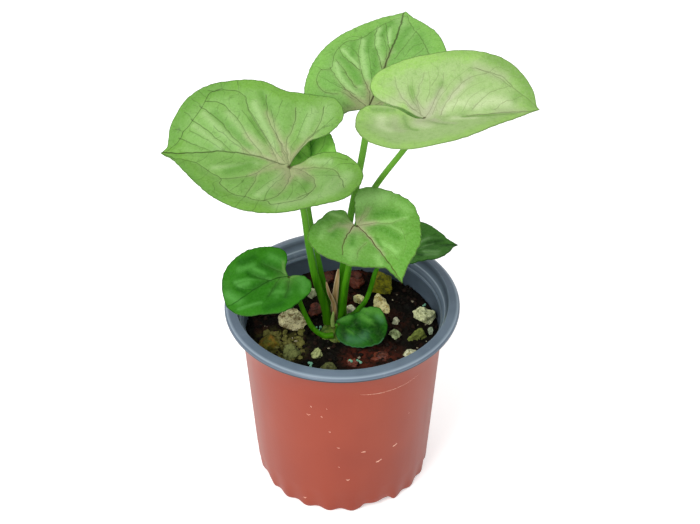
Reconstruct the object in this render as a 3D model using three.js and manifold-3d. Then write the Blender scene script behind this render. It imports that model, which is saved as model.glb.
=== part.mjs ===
// An arrowhead plant (Syngonium) growing in a small nursery pot.
// Millimetres, +Z up. The origin is on the ground, on the axis of the pot.
import * as THREE from "three";
import { mergeVertices } from "three/addons/utils/BufferGeometryUtils.js";
import Module from "manifold-3d";

const wasm = await Module();
wasm.setup();

// ---------- driving dimensions ----------

const GAP = 0.3; // clearance between pieces that touch
const RAD = Math.PI / 180;

const POT = {
  height: 94.8,
  rimRadius: 52.5,
  mouthRadius: 47.4, // inner edge of the flat rim
  footRadius: 39.8,
  taper: 0.066, // growth of the wall's radius with height
  wall: 1,
  stepHeight: 87.5, // where the wall steps outwards so that pots stack
  padRadius: 12, // flat pad in the middle of the underside
  padSlope: 1.4, // run of the slope round the pad
  recess: 1.4, // height of the underside between the pad and the foot
  recessRadius: 33,
  floorTop: 2.4,
  segments: 60,
};
const SCALLOPS = { count: 20, depth: 0.5, height: 1.1, top: 14 };
const NOTCHES = { count: 4, angle: 17, width: 30, height: 2.6, top: 6 };
const DRAIN = { count: 8, radius: 3.5, ring: 25, depth: 8, sides: 16 };

// rings: radii at which the soil's top can rise and fall
const SOIL = { bottom: 2.7, top: 77, uneven: 0.4, rings: [34, 26, 17, 8], segments: 40 };
const CROWN = { x: -2.8, y: -3, radius: 7.6, bottom: 64, top: 80.2, segments: 20 };

const BLADE_THICKNESS = 0.9;
const MIDRIB_ROUNDING = 4; // half width of the soft valley along the midrib
const VEIN_LEAN = 0.6; // how far a side vein runs forward for each mm sideways

// A leaf's outline is in its own plane: the first number runs from the joint with the
// stalk towards the tip, the second to the left of the midrib. Angles are in degrees.
// fold: rise of each half from the midrib; cup, droop, lift and twist: mm per mm squared.
const LEAVES = [
  {
    name: "big_left",
    joint: [-21.5, -8, 171.8],
    heading: 172,
    pitch: 8.6,
    roll: -18.3,
    fold: 23.6,
    cup: 0.002,
    droop: 0.003,
    lift: [0.006, 0.006],
    twist: -0.0005,
    tip: 54.5,
    left: [
      [-10, -7], [-19, -9], [-28, -4], [-30.5, 4], [-26, 16],
      [-16, 21.6], [-10, 26], [8, 32], [28, 26.3], [43, 12.5],
    ],
    right: [
      [-7, -12], [-14, -16], [-17.3, -24], [-11, -31.5], [8, -31],
      [22, -33.5], [40, -30.2], [50.5, -21.8], [53.3, -9],
    ],
    rows: 16,
    columns: 5,
    stalk: [
      [-6.3, 0.5, 80.7],
      [-7.8, 0, 90.5],
      [-11.4, -1, 106],
      [-14.3, -3, 127],
      [-16.3, -5, 147.5],
      [-19, -7, 162],
    ],
    stalkRadius: [1.9, 1.2],
  },
  {
    name: "top_back",
    joint: [11.4, 24, 180],
    heading: 75,
    pitch: 18,
    roll: -6,
    fold: 15,
    cup: 0.002,
    droop: 0.002,
    lift: [0.004, 0.004],
    twist: 0,
    tip: 64,
    left: [[-4, 8], [-11, 13], [-14, 19], [-10, 24], [1, 28], [18, 29.3], [35, 24.3], [50, 14.3]],
    right: [
      [-5, -7], [-12, -12], [-15, -19], [-10, -26], [1, -30],
      [18, -31], [33, -27], [45, -21], [57, -7],
    ],
    rows: 16,
    columns: 5,
    stalk: [
      [-1.3, 3.6, 80.7],
      [-1, 4.5, 93.5],
      [0.5, 5.8, 108.5],
      [3.5, 9, 132],
      [6, 13, 145.5],
      [10, 21, 166],
    ],
    stalkRadius: [1.6, 1.5],
  },
  {
    name: "right",
    joint: [33.7, -6, 194.3],
    heading: 0,
    pitch: 10.7,
    roll: 8,
    fold: 25.6,
    cup: 0.002,
    droop: 0.0021,
    lift: [0.002, 0.009],
    twist: 0,
    tip: 46.5,
    left: [
      [-8, 6.7], [-15, 9.6], [-20, 14], [-19, 21], [-10, 26],
      [4, 27.8], [20, 27.8], [34, 23.6], [44, 12.6],
    ],
    right: [
      [-8, 5], [-16, 7.4], [-23, 6], [-27, 0], [-26, -14],
      [-18, -24.6], [-3, -28.6], [16, -24.2], [34, -10],
    ],
    rows: 16,
    columns: 5,
    stalk: [
      [0.8, 0.8, 80.7],
      [1.2, 1, 93],
      [2.7, 1.5, 107],
      [8, 5, 137.5],
      [14, 5.5, 151.5],
      [26, 0, 175],
      [31.3, -4, 186.5],
    ],
    stalkRadius: [1.5, 1.2],
  },
  {
    name: "centre_front",
    joint: [6, -18, 148.5],
    heading: -59,
    pitch: -4,
    roll: 2.6,
    fold: 14,
    cup: 0.002,
    droop: 0.002,
    lift: [0, 0],
    twist: -0.0014,
    tip: 36.5,
    left: [[-6, 3], [-14, 8], [-17, 12], [-10, 20.3], [1, 25.2], [13, 23.6], [23, 17], [30, 7.5]],
    right: [
      [-5, 0], [-10, 1], [-13, -2], [-12.6, -7], [-9, -14], [-2, -22],
      [7, -24], [16, -20.5], [22, -14], [26, -5], [30, -1.5],
    ],
    rows: 12,
    columns: 4,
    stalk: [[-1.1, -1.7, 80.7], [0, -2.3, 92.5], [1.5, -5.5, 110], [3.5, -9, 124.5], [5, -13.5, 138]],
    stalkRadius: [1.25, 1],
  },
  {
    name: "low_left",
    joint: [-23, -10, 115.2],
    heading: 207,
    pitch: -6.5,
    roll: -17.4,
    fold: 19,
    cup: 0.004,
    droop: 0.0035,
    lift: [0.004, 0.004],
    twist: 0,
    tip: 30,
    left: [[-3, 0.6], [-6.4, 4.5], [-6, 10], [-1.5, 14], [8, 16.6], [17, 14], [25, 9.8], [29, 4.5]],
    right: [
      [-0.4, -4], [-3, -8], [-3.6, -11.5], [1, -15.6],
      [11, -18.3], [21, -16.4], [27, -11], [29.4, -4.5],
    ],
    rows: 11,
    columns: 4,
    stalk: [[-4, -8.8, 80.7], [-8, -9.2, 80.9], [-12.5, -9, 84.5], [-16, -9, 92], [-19.5, -9.5, 104]],
    stalkRadius: [1.2, 1],
  },
  {
    name: "low_right",
    joint: [22.6, 12, 111.7],
    heading: 0,
    pitch: 10,
    roll: 0,
    fold: 10,
    cup: 0.002,
    droop: 0.001,
    lift: [0.004, 0.004],
    twist: 0,
    tip: 29,
    left: [[-4, 3], [-8, 8], [-5, 14], [4, 17], [13, 17], [20, 11.3], [25, 4.4]],
    right: [[-4, -3], [-8, -7], [-5, -11], [4, -11.5], [12, -10.5], [20, -10], [25, -5.5], [27, -1.5]],
    rows: 10,
    columns: 4,
    stalk: [
      [1.9, 4, 80.7],
      [4.5, 4.2, 81.8],
      [10, 5.5, 88],
      [12.5, 7, 94],
      [15.5, 9, 104.5],
      [20, 11.2, 109.5],
    ],
    stalkRadius: [1.15, 0.95],
  },
  {
    name: "back_left",
    joint: [-13, 6.5, 165.5],
    heading: 95,
    pitch: 20,
    roll: 0,
    fold: 18,
    cup: 0.002,
    droop: 0.002,
    lift: [0.004, 0.004],
    twist: 0,
    tip: 27,
    left: [[-4, 3], [-8, 7], [-5, 11], [3, 12], [12, 10], [21, 5]],
    right: [[-4, -3], [-8, -7], [-5, -10], [2, -11], [12, -9], [21, -4]],
    rows: 10,
    columns: 4,
    stalk: [
      [-4.6, 4, 80.7],
      [-5.5, 3.5, 90],
      [-8.7, 3.5, 103.5],
      [-11.6, 4, 122],
      [-14.3, 4.5, 140.5],
      [-14.6, 5.5, 154],
    ],
    stalkRadius: [1.5, 1.1],
  },
  {
    name: "small_front",
    joint: [-1.7, -7.3, 85.7],
    heading: 0,
    pitch: 0,
    roll: 45,
    fold: 6,
    cup: -0.004,
    droop: 0.002,
    lift: [0, 0],
    twist: 0,
    tip: 22,
    left: [[-1, 1.8], [3, 4], [8, 6], [13, 8], [18, 7.2], [21, 3.4]],
    right: [[-1.2, -3.5], [0, -7], [6, -10.2], [13, -10], [18.5, -8.2], [21.3, -4.8]],
    rows: 9,
    columns: 3,
    stalk: [[-2.2, -5.2, 80.5], [-2.1, -6.2, 83]],
    stalkRadius: [1, 0.9],
  },
];
const STALK_SIDES = 8;
const STALK_STEPS = 12;

// Pointed leaf sheaths at the foot of the plant: half width and half thickness at the foot.
const SHEATHS = [
  {
    name: "young_shoot",
    path: [[-4.1, -2.4, 80.7], [-4.3, -2.3, 84], [-3.9, -2.2, 89]],
    width: 1,
    thickness: 0.8,
  },
  {
    name: "dry_sheath_left",
    path: [[-3.1, 0.8, 80.7], [-3.8, 0.5, 91.5], [-5.9, -0.4, 98.5], [-7, -0.9, 105]],
    width: 0.9,
    thickness: 0.5,
  },
  {
    name: "dry_sheath_back",
    path: [[-3.7, 2, 80.8], [-3.6, 2, 89.5], [-2.8, 1.9, 98], [-1.6, 2, 110]],
    width: 0.9,
    thickness: 0.5,
  },
];
const SHEATH_SIDES = 6;
const SHEATH_STEPS = 8;

// Stones and chips of bark half sunk in the soil: place of the centre, size along their
// own length, width and height, turn about Z in degrees, and the seed of their facets.
const PEBBLES = [
  { name: "pumice_left", at: [-21.5, 2, 80], size: [15, 13.5, 12], turn: 20, seed: 3, detail: 2 },
  { name: "mossy_left", at: [-33.2, -11.5, 77.8], size: [11, 12, 8], turn: 0, seed: 5, detail: 1 },
  { name: "olive_front_left", at: [-21.8, -17.5, 77.6], size: [12, 10, 8], turn: 15, seed: 8, detail: 1 },
  { name: "pale_green_front", at: [-11.1, -18, 78], size: [7, 8, 7], turn: 40, seed: 13, detail: 1 },
  { name: "dark_front", at: [-6.5, -26.8, 77.2], size: [11.5, 8, 6], turn: 0, seed: 21, detail: 1 },
  { name: "beige_right", at: [37.2, 6.3, 79.5], size: [10.5, 11.5, 11], turn: 30, seed: 34, detail: 2 },
  { name: "olive_right", at: [33.5, -6, 77.6], size: [11, 9, 8], turn: 0, seed: 55, detail: 1 },
  { name: "grey_small_right", at: [40, -2.3, 77.8], size: [3.4, 5, 5], turn: 0, seed: 89, detail: 1 },
  { name: "pale_front_right", at: [30, -18, 77.6], size: [8, 8, 6], turn: 25, seed: 144, detail: 1 },
  { name: "long_beige", at: [17.3, 14.8, 79], size: [8.5, 13, 9], turn: 25, seed: 7, detail: 2 },
  { name: "pale_flake", at: [24.3, 4.6, 77.4], size: [5, 5, 3], turn: 0, seed: 11, detail: 1 },
  { name: "grey_green_right", at: [23.7, -5, 77.6], size: [6, 6.5, 5], turn: 0, seed: 17, detail: 1 },
  { name: "white_flat", at: [4.6, 12.2, 78], size: [7.5, 5.5, 5], turn: -10, seed: 19, detail: 1 },
  { name: "yellow_small", at: [7.8, 19, 78], size: [5.5, 7, 6.5], turn: 0, seed: 23, detail: 1 },
  { name: "olive_back", at: [18.4, 29, 80], size: [14, 12, 13], turn: 10, seed: 29, detail: 2 },
  { name: "pale_back_left", at: [-15, 24, 78.5], size: [6.5, 8, 9], turn: 0, seed: 31, detail: 1 },
];
const BARK_CHIPS = [
  { name: "bark_left", at: [-12.2, 11, 78.5], size: [8, 9, 6], turn: 15, seed: 41, detail: 1 },
  { name: "bark_back_left", at: [-6.8, 35.5, 79], size: [7, 10, 9], turn: 0, seed: 43, detail: 1 },
  { name: "bark_back", at: [5.8, 33, 79], size: [11, 11, 8], turn: -20, seed: 47, detail: 1 },
  { name: "bark_middle", at: [1.2, 20.5, 78], size: [4, 8, 5], turn: 10, seed: 53, detail: 1 },
  { name: "bark_front_right", at: [17, -18, 77], size: [11, 7.5, 4], turn: -15, seed: 59, detail: 1 },
  { name: "bark_front", at: [4.2, -23.3, 77], size: [6.5, 5, 4], turn: 0, seed: 61, detail: 1 },
];
const FACETS = 9; // flat cuts that shape each stone
const FACET_NEAREST = 0.66; // least distance of a cut from the centre, as a share of the radius
const FACET_SPREAD = 0.24;

const FINISHES = {
  pot: { color: 0xb05a44, roughness: 0.42 },
  soil: { color: 0x2a1a13, roughness: 0.95 },
  crown: { color: 0x7fa04a, roughness: 0.6 },
  stalk: { color: 0x5aa02c, roughness: 0.45 },
  blade: { color: 0x86b85c, roughness: 0.5 },
  dryLeaf: { color: 0xa98a62, roughness: 0.8 },
  stone: { color: 0xb5ab8c, roughness: 0.9 },
  bark: { color: 0x5c2b1c, roughness: 0.9 },
};

// ---------- meshes to solids and back ----------

function toSolid(geometry) {
  const bare = new THREE.BufferGeometry();
  bare.setAttribute("position", geometry.getAttribute("position"));
  bare.setIndex(geometry.index);
  const merged = mergeVertices(bare, 1e-4);
  return new wasm.Manifold(
    new wasm.Mesh({
      numProp: 3,
      vertProperties: merged.attributes.position.array,
      triVerts: new Uint32Array(merged.index.array),
    }),
  );
}

function toGeometry(solid) {
  const { vertProperties, triVerts } = solid.getMesh();
  const geometry = new THREE.BufferGeometry();
  geometry.setAttribute("position", new THREE.BufferAttribute(vertProperties, 3));
  geometry.setIndex(new THREE.BufferAttribute(triVerts, 1));
  geometry.computeVertexNormals();
  return geometry;
}

function largestPiece(solid) {
  return solid.decompose().reduce((a, b) => (b.volume() > a.volume() ? b : a));
}

// A solid of revolution about Z from [radius, height] pairs that start and end on the axis.
function turned(profile, segments) {
  const points = profile.map(([r, z]) => new THREE.Vector2(r, z));
  return new THREE.LatheGeometry(points, segments).rotateX(Math.PI / 2);
}

// ---------- pot ----------

const wallRadius = (z) => POT.footRadius + POT.taper * z;
const fade = (value, top) => THREE.MathUtils.clamp(1 - value / top, 0, 1);

// 0 to 1 at an angle round the pot, 1 in the middle of each of its scallops.
const scallop = (angle) => (1 - Math.cos(SCALLOPS.count * angle * RAD)) / 2;

// How far the foot of the pot is notched upwards at an angle, in degrees from -Y towards +X.
function footNotch(angle) {
  const pitch = 360 / NOTCHES.count;
  const fromNotch = angle - NOTCHES.angle + pitch / 2;
  const off = THREE.MathUtils.euclideanModulo(fromNotch, pitch) - pitch / 2;
  const inside = Math.abs(off) < NOTCHES.width / 2;
  const notch = inside ? (1 + Math.cos((off / NOTCHES.width) * 2 * Math.PI)) / 2 : 0;
  return Math.max(scallop(angle) * SCALLOPS.height, notch * NOTCHES.height);
}

function makePot() {
  const inside = (z) => wallRadius(z) - POT.wall;
  const step = POT.stepHeight;
  const profile = [
    [0, 0],
    [POT.padRadius, 0],
    [POT.padRadius + POT.padSlope, POT.recess],
    [POT.recessRadius + 0.5, POT.recess],
    [POT.recessRadius + 2.5, 0],
    [POT.footRadius - 0.7, 0],
    [POT.footRadius, 0.9],
    [wallRadius(6), 6],
    [wallRadius(SCALLOPS.top), SCALLOPS.top],
    [wallRadius(step), step],
    [wallRadius(step) + 1.3, step + 1.6],
    [POT.mouthRadius + 0.6, 92],
    [POT.rimRadius - 0.9, 91.2],
    [POT.rimRadius, 91.6],
    [POT.rimRadius, 92.7],
    [POT.rimRadius - 0.8, 93.5],
    [POT.mouthRadius + 0.8, POT.height],
    [POT.mouthRadius, POT.height - 0.2],
    [wallRadius(step) + 0.4, step + 2.2],
    [inside(step), step + 0.6],
    [inside(SCALLOPS.top), SCALLOPS.top],
    [inside(6) - 0.3, 5],
    [inside(POT.floorTop) - 1.4, POT.floorTop],
    [POT.recessRadius - 0.5, POT.floorTop],
    [POT.padRadius + POT.padSlope - 0.8, POT.floorTop],
    [POT.padRadius - 0.8, POT.wall],
    [0, POT.wall],
  ];
  const geometry = turned(profile, POT.segments);
  const vertices = geometry.getAttribute("position");
  for (let i = 0; i < vertices.count; i++) {
    const [x, y, z] = [vertices.getX(i), vertices.getY(i), vertices.getZ(i)];
    const radius = Math.hypot(x, y);
    if (radius < POT.recessRadius || z >= SCALLOPS.top) continue;
    const angle = Math.atan2(x, -y) / RAD;
    const flute = scallop(angle) * SCALLOPS.depth * fade(z, SCALLOPS.top);
    const edge = THREE.MathUtils.clamp((radius - POT.recessRadius) / 2, 0, 1);
    const scale = 1 - (flute * edge) / radius;
    vertices.setXYZ(i, x * scale, y * scale, z + footNotch(angle) * edge * fade(z, NOTCHES.top));
  }
  let pot = toSolid(geometry);
  for (let i = 0; i < DRAIN.count; i++) {
    const angle = ((i + 0.5) / DRAIN.count) * 2 * Math.PI;
    const hole = new THREE.CylinderGeometry(DRAIN.radius, DRAIN.radius, DRAIN.depth, DRAIN.sides);
    hole.rotateX(Math.PI / 2);
    hole.translate(DRAIN.ring * Math.cos(angle), DRAIN.ring * Math.sin(angle), POT.floorTop);
    pot = pot.subtract(toSolid(hole));
  }
  return pot;
}

// ---------- stones and bark ----------

// Repeatable random numbers from 0 to 1.
function seeded(seed) {
  let state = seed;
  return () => {
    state = (state * 48271) % 2147483647;
    return state / 2147483647;
  };
}

// A round body cut by flat facets, grown by an allowance on every side.
function stone({ at, size, turn, seed, detail }, allowance = 0) {
  const random = seeded(seed * 1000);
  const facets = [];
  for (let i = 0; i < FACETS; i++) {
    const z = 2 * random() - 1;
    const around = 2 * Math.PI * random();
    const level = Math.sqrt(1 - z * z);
    const normal = new THREE.Vector3(level * Math.cos(around), level * Math.sin(around), z);
    facets.push({ normal, distance: FACET_NEAREST + FACET_SPREAD * random() });
  }
  const geometry = new THREE.IcosahedronGeometry(1, detail);
  const vertices = geometry.getAttribute("position");
  const point = new THREE.Vector3();
  const growth = allowance / FACET_NEAREST; // the deepest facet moves out by the allowance
  const half = new THREE.Vector3(...size).multiplyScalar(0.5).addScalar(growth);
  for (let i = 0; i < vertices.count; i++) {
    point.fromBufferAttribute(vertices, i).normalize();
    const cut = Math.max(1, ...facets.map((f) => point.dot(f.normal) / f.distance));
    point.divideScalar(cut).multiply(half);
    vertices.setXYZ(i, point.x, point.y, point.z);
  }
  geometry.rotateZ(turn * RAD).translate(...at);
  return toSolid(geometry);
}

// ---------- soil and crown ----------

// The stump that the stalks grow from: its outline up to the soil, then its domed top.
function crownOutline(allowance) {
  const { radius, bottom } = CROWN;
  return [
    [0, bottom - allowance],
    [0.6 * radius + allowance, bottom - allowance],
    [0.92 * radius + allowance, bottom + 6],
    [radius + allowance, SOIL.top - 0.5],
  ];
}

function makeCrown() {
  const { x, y, radius, top, segments } = CROWN;
  const dome = [
    [0.93 * radius, SOIL.top + 1.6],
    [0.65 * radius, top - 0.5],
    [0, top],
  ];
  return toSolid(turned([...crownOutline(0), ...dome], segments).translate(x, y, 0));
}

// The hole that the crown stands in, open at the top.
function crownHole() {
  const { x, y, radius, top, segments } = CROWN;
  const mouth = [
    [radius + GAP, top],
    [0, top],
  ];
  return toSolid(turned([...crownOutline(GAP), ...mouth], segments).translate(x, y, 0));
}

function makeSoil() {
  const edge = (z) => wallRadius(z) - POT.wall - GAP;
  const profile = [
    [0, SOIL.bottom],
    [POT.recessRadius, SOIL.bottom],
    [edge(0) - 0.5, 8.5],
    [edge(SCALLOPS.top), SCALLOPS.top],
    [edge(SOIL.top), SOIL.top - 1],
    [edge(SOIL.top) - 1.5, SOIL.top],
    ...SOIL.rings.map((radius) => [radius, SOIL.top]),
    [0, SOIL.top],
  ];
  const geometry = turned(profile, SOIL.segments);
  const vertices = geometry.getAttribute("position");
  for (let i = 0; i < vertices.count; i++) {
    if (vertices.getZ(i) < SOIL.top - 0.5) continue;
    const [x, y] = [vertices.getX(i), vertices.getY(i)];
    const bump = Math.sin(0.31 * x + 0.7) * Math.cos(0.27 * y) + Math.sin(0.17 * (x - y));
    vertices.setZ(i, SOIL.top + SOIL.uneven * bump);
  }
  let soil = toSolid(geometry).subtract(crownHole());
  for (const piece of [...PEBBLES, ...BARK_CHIPS]) {
    soil = soil.subtract(stone(piece, GAP));
  }
  return largestPiece(soil);
}

// ---------- leaf blades ----------

// Unit vectors towards the tip, to the left and up from a leaf's plane.
function leafAxes({ heading, pitch, roll }) {
  const [h, p, r] = [heading * RAD, pitch * RAD, roll * RAD];
  const tip = new THREE.Vector3(Math.cos(h) * Math.cos(p), Math.sin(h) * Math.cos(p), Math.sin(p));
  const level = new THREE.Vector3(-Math.sin(h), Math.cos(h), 0);
  const left = level.clone().multiplyScalar(Math.cos(r));
  left.addScaledVector(tip.clone().cross(level), Math.sin(r));
  return { tip, left, up: tip.clone().cross(left) };
}

// Height of the blade over its plane, at a mm along and b mm left of the midrib.
function bladeHeight(leaf, a, b, side) {
  const folded = Math.tan(leaf.fold * RAD) * (Math.hypot(b, MIDRIB_ROUNDING) - MIDRIB_ROUNDING);
  const along = a > 0 ? -leaf.droop : leaf.lift[side];
  return folded - leaf.cup * b * b + along * a * a + leaf.twist * a * b;
}

// Triangles of the blade's middle surface, from the joint along side veins to the margin.
function bladeSurface(leaf) {
  const { tip, left, up } = leafAxes(leaf);
  const joint = new THREE.Vector3(...leaf.joint);
  const margins = [leaf.left, leaf.right].map((side) => {
    const points = [[0, 0], ...side, [leaf.tip, 0]].map((p) => new THREE.Vector2(...p));
    return new THREE.SplineCurve(points).getSpacedPoints(leaf.rows);
  });
  const starts = margins[0].map((l, i) => {
    const r = margins[1][i];
    const forward = (l.x + r.x) / 2 - (VEIN_LEAN * (l.y - r.y)) / 2;
    return THREE.MathUtils.clamp(forward, 0, leaf.tip);
  });
  const place = (a, b, side) =>
    joint
      .clone()
      .addScaledVector(tip, a)
      .addScaledVector(left, b)
      .addScaledVector(up, bladeHeight(leaf, a, b, side));
  const triangles = [];
  const add = (...corners) => {
    const distinct = corners.every((c, i) => c.distanceTo(corners[(i + 1) % 3]) > 1e-6);
    if (distinct) triangles.push(corners);
  };
  margins.forEach((margin, side) => {
    const at = (i, j) => {
      const w = j / leaf.columns;
      return place(starts[i] + (margin[i].x - starts[i]) * w, margin[i].y * w, side);
    };
    for (let i = 1; i < leaf.rows; i++)
      for (let j = 0; j < leaf.columns; j++) {
        const [p, q, r, s] = [at(i, j), at(i, j + 1), at(i + 1, j + 1), at(i + 1, j)];
        if (side === 0) {
          add(p, s, q);
          add(q, s, r);
        } else {
          add(p, q, s);
          add(q, r, s);
        }
      }
  });
  return { triangles, up };
}

// The blade as a solid: two like faces and a wall along the margin.
function makeBlade(leaf) {
  const { triangles, up } = bladeSurface(leaf);
  const lift = up.clone().multiplyScalar(BLADE_THICKNESS / 2);
  const key = (v) => v.toArray().map((n) => n.toFixed(4)).join();
  const raised = (v) => v.clone().add(lift);
  const lowered = (v) => v.clone().sub(lift);
  const edges = new Map();
  const corners = [];
  for (const [a, b, c] of triangles) {
    corners.push(raised(a), raised(b), raised(c), lowered(a), lowered(c), lowered(b));
    for (const [from, to] of [[a, b], [b, c], [c, a]]) {
      const back = key(to) + "|" + key(from);
      if (edges.has(back)) edges.delete(back);
      else edges.set(key(from) + "|" + key(to), [from, to]);
    }
  }
  for (const [from, to] of edges.values()) {
    corners.push(raised(from), lowered(from), lowered(to));
    corners.push(raised(from), lowered(to), raised(to));
  }
  const geometry = new THREE.BufferGeometry().setFromPoints(corners);
  return toSolid(geometry);
}

// ---------- stalks and sheaths ----------

// A closed tube of elliptical rings along a smooth path; size(t) gives the two radii.
// Its end is cut square, or to the plane with the normal endPlane.
function tapered(path, steps, sides, size, endPlane) {
  const curve = new THREE.CatmullRomCurve3(path);
  const facing = new THREE.Vector3(0, -1, 0);
  const ring = (i) => {
    const t = i / steps;
    const along = curve.getTangentAt(t);
    const across = facing.clone().cross(along).normalize();
    const out = along.clone().cross(across);
    const [width, depth] = size(t);
    return Array.from({ length: sides }, (_, k) => {
      const angle = (k / sides) * 2 * Math.PI;
      const offset = across.clone().multiplyScalar(width * Math.cos(angle));
      offset.addScaledVector(out, depth * Math.sin(angle));
      if (endPlane && i === steps) {
        offset.addScaledVector(along, -offset.dot(endPlane) / along.dot(endPlane));
      }
      return curve.getPointAt(t).add(offset);
    });
  };
  const rings = Array.from({ length: steps + 1 }, (_, i) => ring(i));
  const corners = [];
  for (let k = 0; k < sides; k++) {
    const next = (k + 1) % sides;
    corners.push(curve.getPointAt(0), rings[0][next], rings[0][k]);
    corners.push(curve.getPointAt(1), rings[steps][k], rings[steps][next]);
    for (let i = 0; i < steps; i++) {
      const [p, q, r, s] = [rings[i][k], rings[i][next], rings[i + 1][next], rings[i + 1][k]];
      corners.push(p, q, r, p, r, s);
    }
  }
  return toSolid(new THREE.BufferGeometry().setFromPoints(corners));
}

// A leaf's stalk, from the crown to just under the joint with its blade.
function makeStalk(leaf) {
  const { up } = leafAxes(leaf);
  const joint = new THREE.Vector3(...leaf.joint);
  const path = leaf.stalk.map((p) => new THREE.Vector3(...p));
  path.push(joint.addScaledVector(up, -BLADE_THICKNESS / 2 - GAP));
  const [foot, neck] = leaf.stalkRadius;
  const size = (t) => Array(2).fill(THREE.MathUtils.lerp(foot, neck, t));
  return tapered(path, STALK_STEPS, STALK_SIDES, size, up);
}

function makeSheath({ path, width, thickness }) {
  const points = path.map((p) => new THREE.Vector3(...p));
  const size = (t) => {
    const narrowing = Math.sqrt(1 - 0.97 * t * t); // blunt: the last ring isn't quite a point
    return [width * narrowing, thickness * narrowing];
  };
  return tapered(points, SHEATH_STEPS, SHEATH_SIDES, size);
}

// ---------- assembly ----------

const plant = new THREE.Group();

function addPiece(name, solid, finish) {
  const mesh = new THREE.Mesh(toGeometry(solid), new THREE.MeshStandardMaterial(FINISHES[finish]));
  mesh.name = name;
  plant.add(mesh);
}

addPiece("pot", makePot(), "pot");
addPiece("soil", makeSoil(), "soil");
addPiece("crown", makeCrown(), "crown");
for (const leaf of LEAVES) {
  addPiece("blade_" + leaf.name, makeBlade(leaf), "blade");
  addPiece("stalk_" + leaf.name, makeStalk(leaf), "stalk");
}
for (const sheath of SHEATHS) addPiece(sheath.name, makeSheath(sheath), "dryLeaf");
for (const pebble of PEBBLES) addPiece("stone_" + pebble.name, stone(pebble), "stone");
for (const chip of BARK_CHIPS) addPiece(chip.name, stone(chip), "bark");

export default plant;
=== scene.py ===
import random
from math import cos, exp, hypot, pi, radians, sin, tan

import bmesh
import bpy
import numpy as np
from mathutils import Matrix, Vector, kdtree, noise


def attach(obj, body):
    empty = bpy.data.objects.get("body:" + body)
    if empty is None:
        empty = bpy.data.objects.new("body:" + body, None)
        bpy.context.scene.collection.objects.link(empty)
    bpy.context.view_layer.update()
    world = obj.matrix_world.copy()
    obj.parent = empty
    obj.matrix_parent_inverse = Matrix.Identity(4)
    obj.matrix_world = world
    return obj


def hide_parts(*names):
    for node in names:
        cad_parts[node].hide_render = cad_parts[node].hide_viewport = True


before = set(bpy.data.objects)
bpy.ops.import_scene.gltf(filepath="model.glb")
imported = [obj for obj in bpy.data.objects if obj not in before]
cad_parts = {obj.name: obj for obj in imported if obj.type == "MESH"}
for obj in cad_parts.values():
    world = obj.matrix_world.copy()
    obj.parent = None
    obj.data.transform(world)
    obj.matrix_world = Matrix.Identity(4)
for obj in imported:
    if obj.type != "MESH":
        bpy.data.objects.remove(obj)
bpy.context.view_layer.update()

# ---------- studio ----------
# A pale table top in a white room, under one large soft lamp at the upper left. The camera
# looks down at the plant from the front.
WALL_LIGHT = 0.82
WALL_LIGHT_IN_GLOSS = 0.3
TABLE_WHITE = 0.94
TABLE_GLOW = 0.1
TABLE_GLOW_SEEN = 0.4

bpy.context.scene.view_settings.view_transform = "Standard"

camera = bpy.data.objects.new("camera", bpy.data.cameras.new("camera"))
camera.data.lens = 86.4
camera.data.sensor_width = 36
camera.location = (0.0035, -0.57872, 0.57006)
camera.rotation_euler = (radians(51.85), 0, 0)
bpy.context.collection.objects.link(camera)
bpy.context.scene.camera = camera

# The walls light the plant evenly, but a gloss reflects them only dimly.
room = bpy.data.worlds.new("room")
room.use_nodes = True
walls = room.node_tree.nodes["Background"]
walls.inputs["Color"].default_value = (1, 1, 1, 1)
nodes, links = room.node_tree.nodes, room.node_tree.links
ray = nodes.new("ShaderNodeLightPath")
brightness = nodes.new("ShaderNodeMapRange")
brightness.inputs["To Min"].default_value = WALL_LIGHT
brightness.inputs["To Max"].default_value = WALL_LIGHT_IN_GLOSS
links.new(ray.outputs["Is Glossy Ray"], brightness.inputs["Value"])
seen = nodes.new("ShaderNodeMath")
seen.operation = "MAXIMUM"
links.new(ray.outputs["Is Camera Ray"], seen.inputs[0])
links.new(brightness.outputs["Result"], seen.inputs[1])
links.new(seen.outputs[0], walls.inputs["Strength"])
bpy.context.scene.world = room

lamp = bpy.data.objects.new("lamp", bpy.data.lights.new("lamp", "AREA"))
lamp.data.shape = "DISK"
lamp.data.size = 0.6
lamp.data.energy = 8
lamp.location = (-0.5, -0.72, 0.85)
lamp.rotation_euler = (Vector((0, 0, 0.1)) - lamp.location).to_track_quat("-Z", "Y").to_euler()
bpy.context.collection.objects.link(lamp)

table_top = bpy.data.materials.new("table_top")
table_top.use_nodes = True
nodes, links = table_top.node_tree.nodes, table_top.node_tree.links
surface = nodes["Principled BSDF"].inputs
surface["Base Color"].default_value = (TABLE_WHITE, TABLE_WHITE, TABLE_WHITE, 1)
surface["Roughness"].default_value = 0.9
surface["Emission Color"].default_value = (1, 1, 1, 1)
ray = nodes.new("ShaderNodeLightPath")
glow = nodes.new("ShaderNodeMapRange")
glow.inputs["To Min"].default_value = TABLE_GLOW
glow.inputs["To Max"].default_value = TABLE_GLOW_SEEN
links.new(ray.outputs["Is Camera Ray"], glow.inputs["Value"])
links.new(glow.outputs["Result"], surface["Emission Strength"])
bm = bmesh.new()
bmesh.ops.create_grid(bm, x_segments=1, y_segments=1, size=3)
bmesh.ops.translate(bm, verts=bm.verts, vec=(0, 0, -0.0001))
mesh = bpy.data.meshes.new("table_top")
bm.to_mesh(mesh)
bm.free()
mesh.materials.append(table_top)
floor = bpy.data.objects.new("table_top", mesh)
bpy.context.collection.objects.link(floor)

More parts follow.
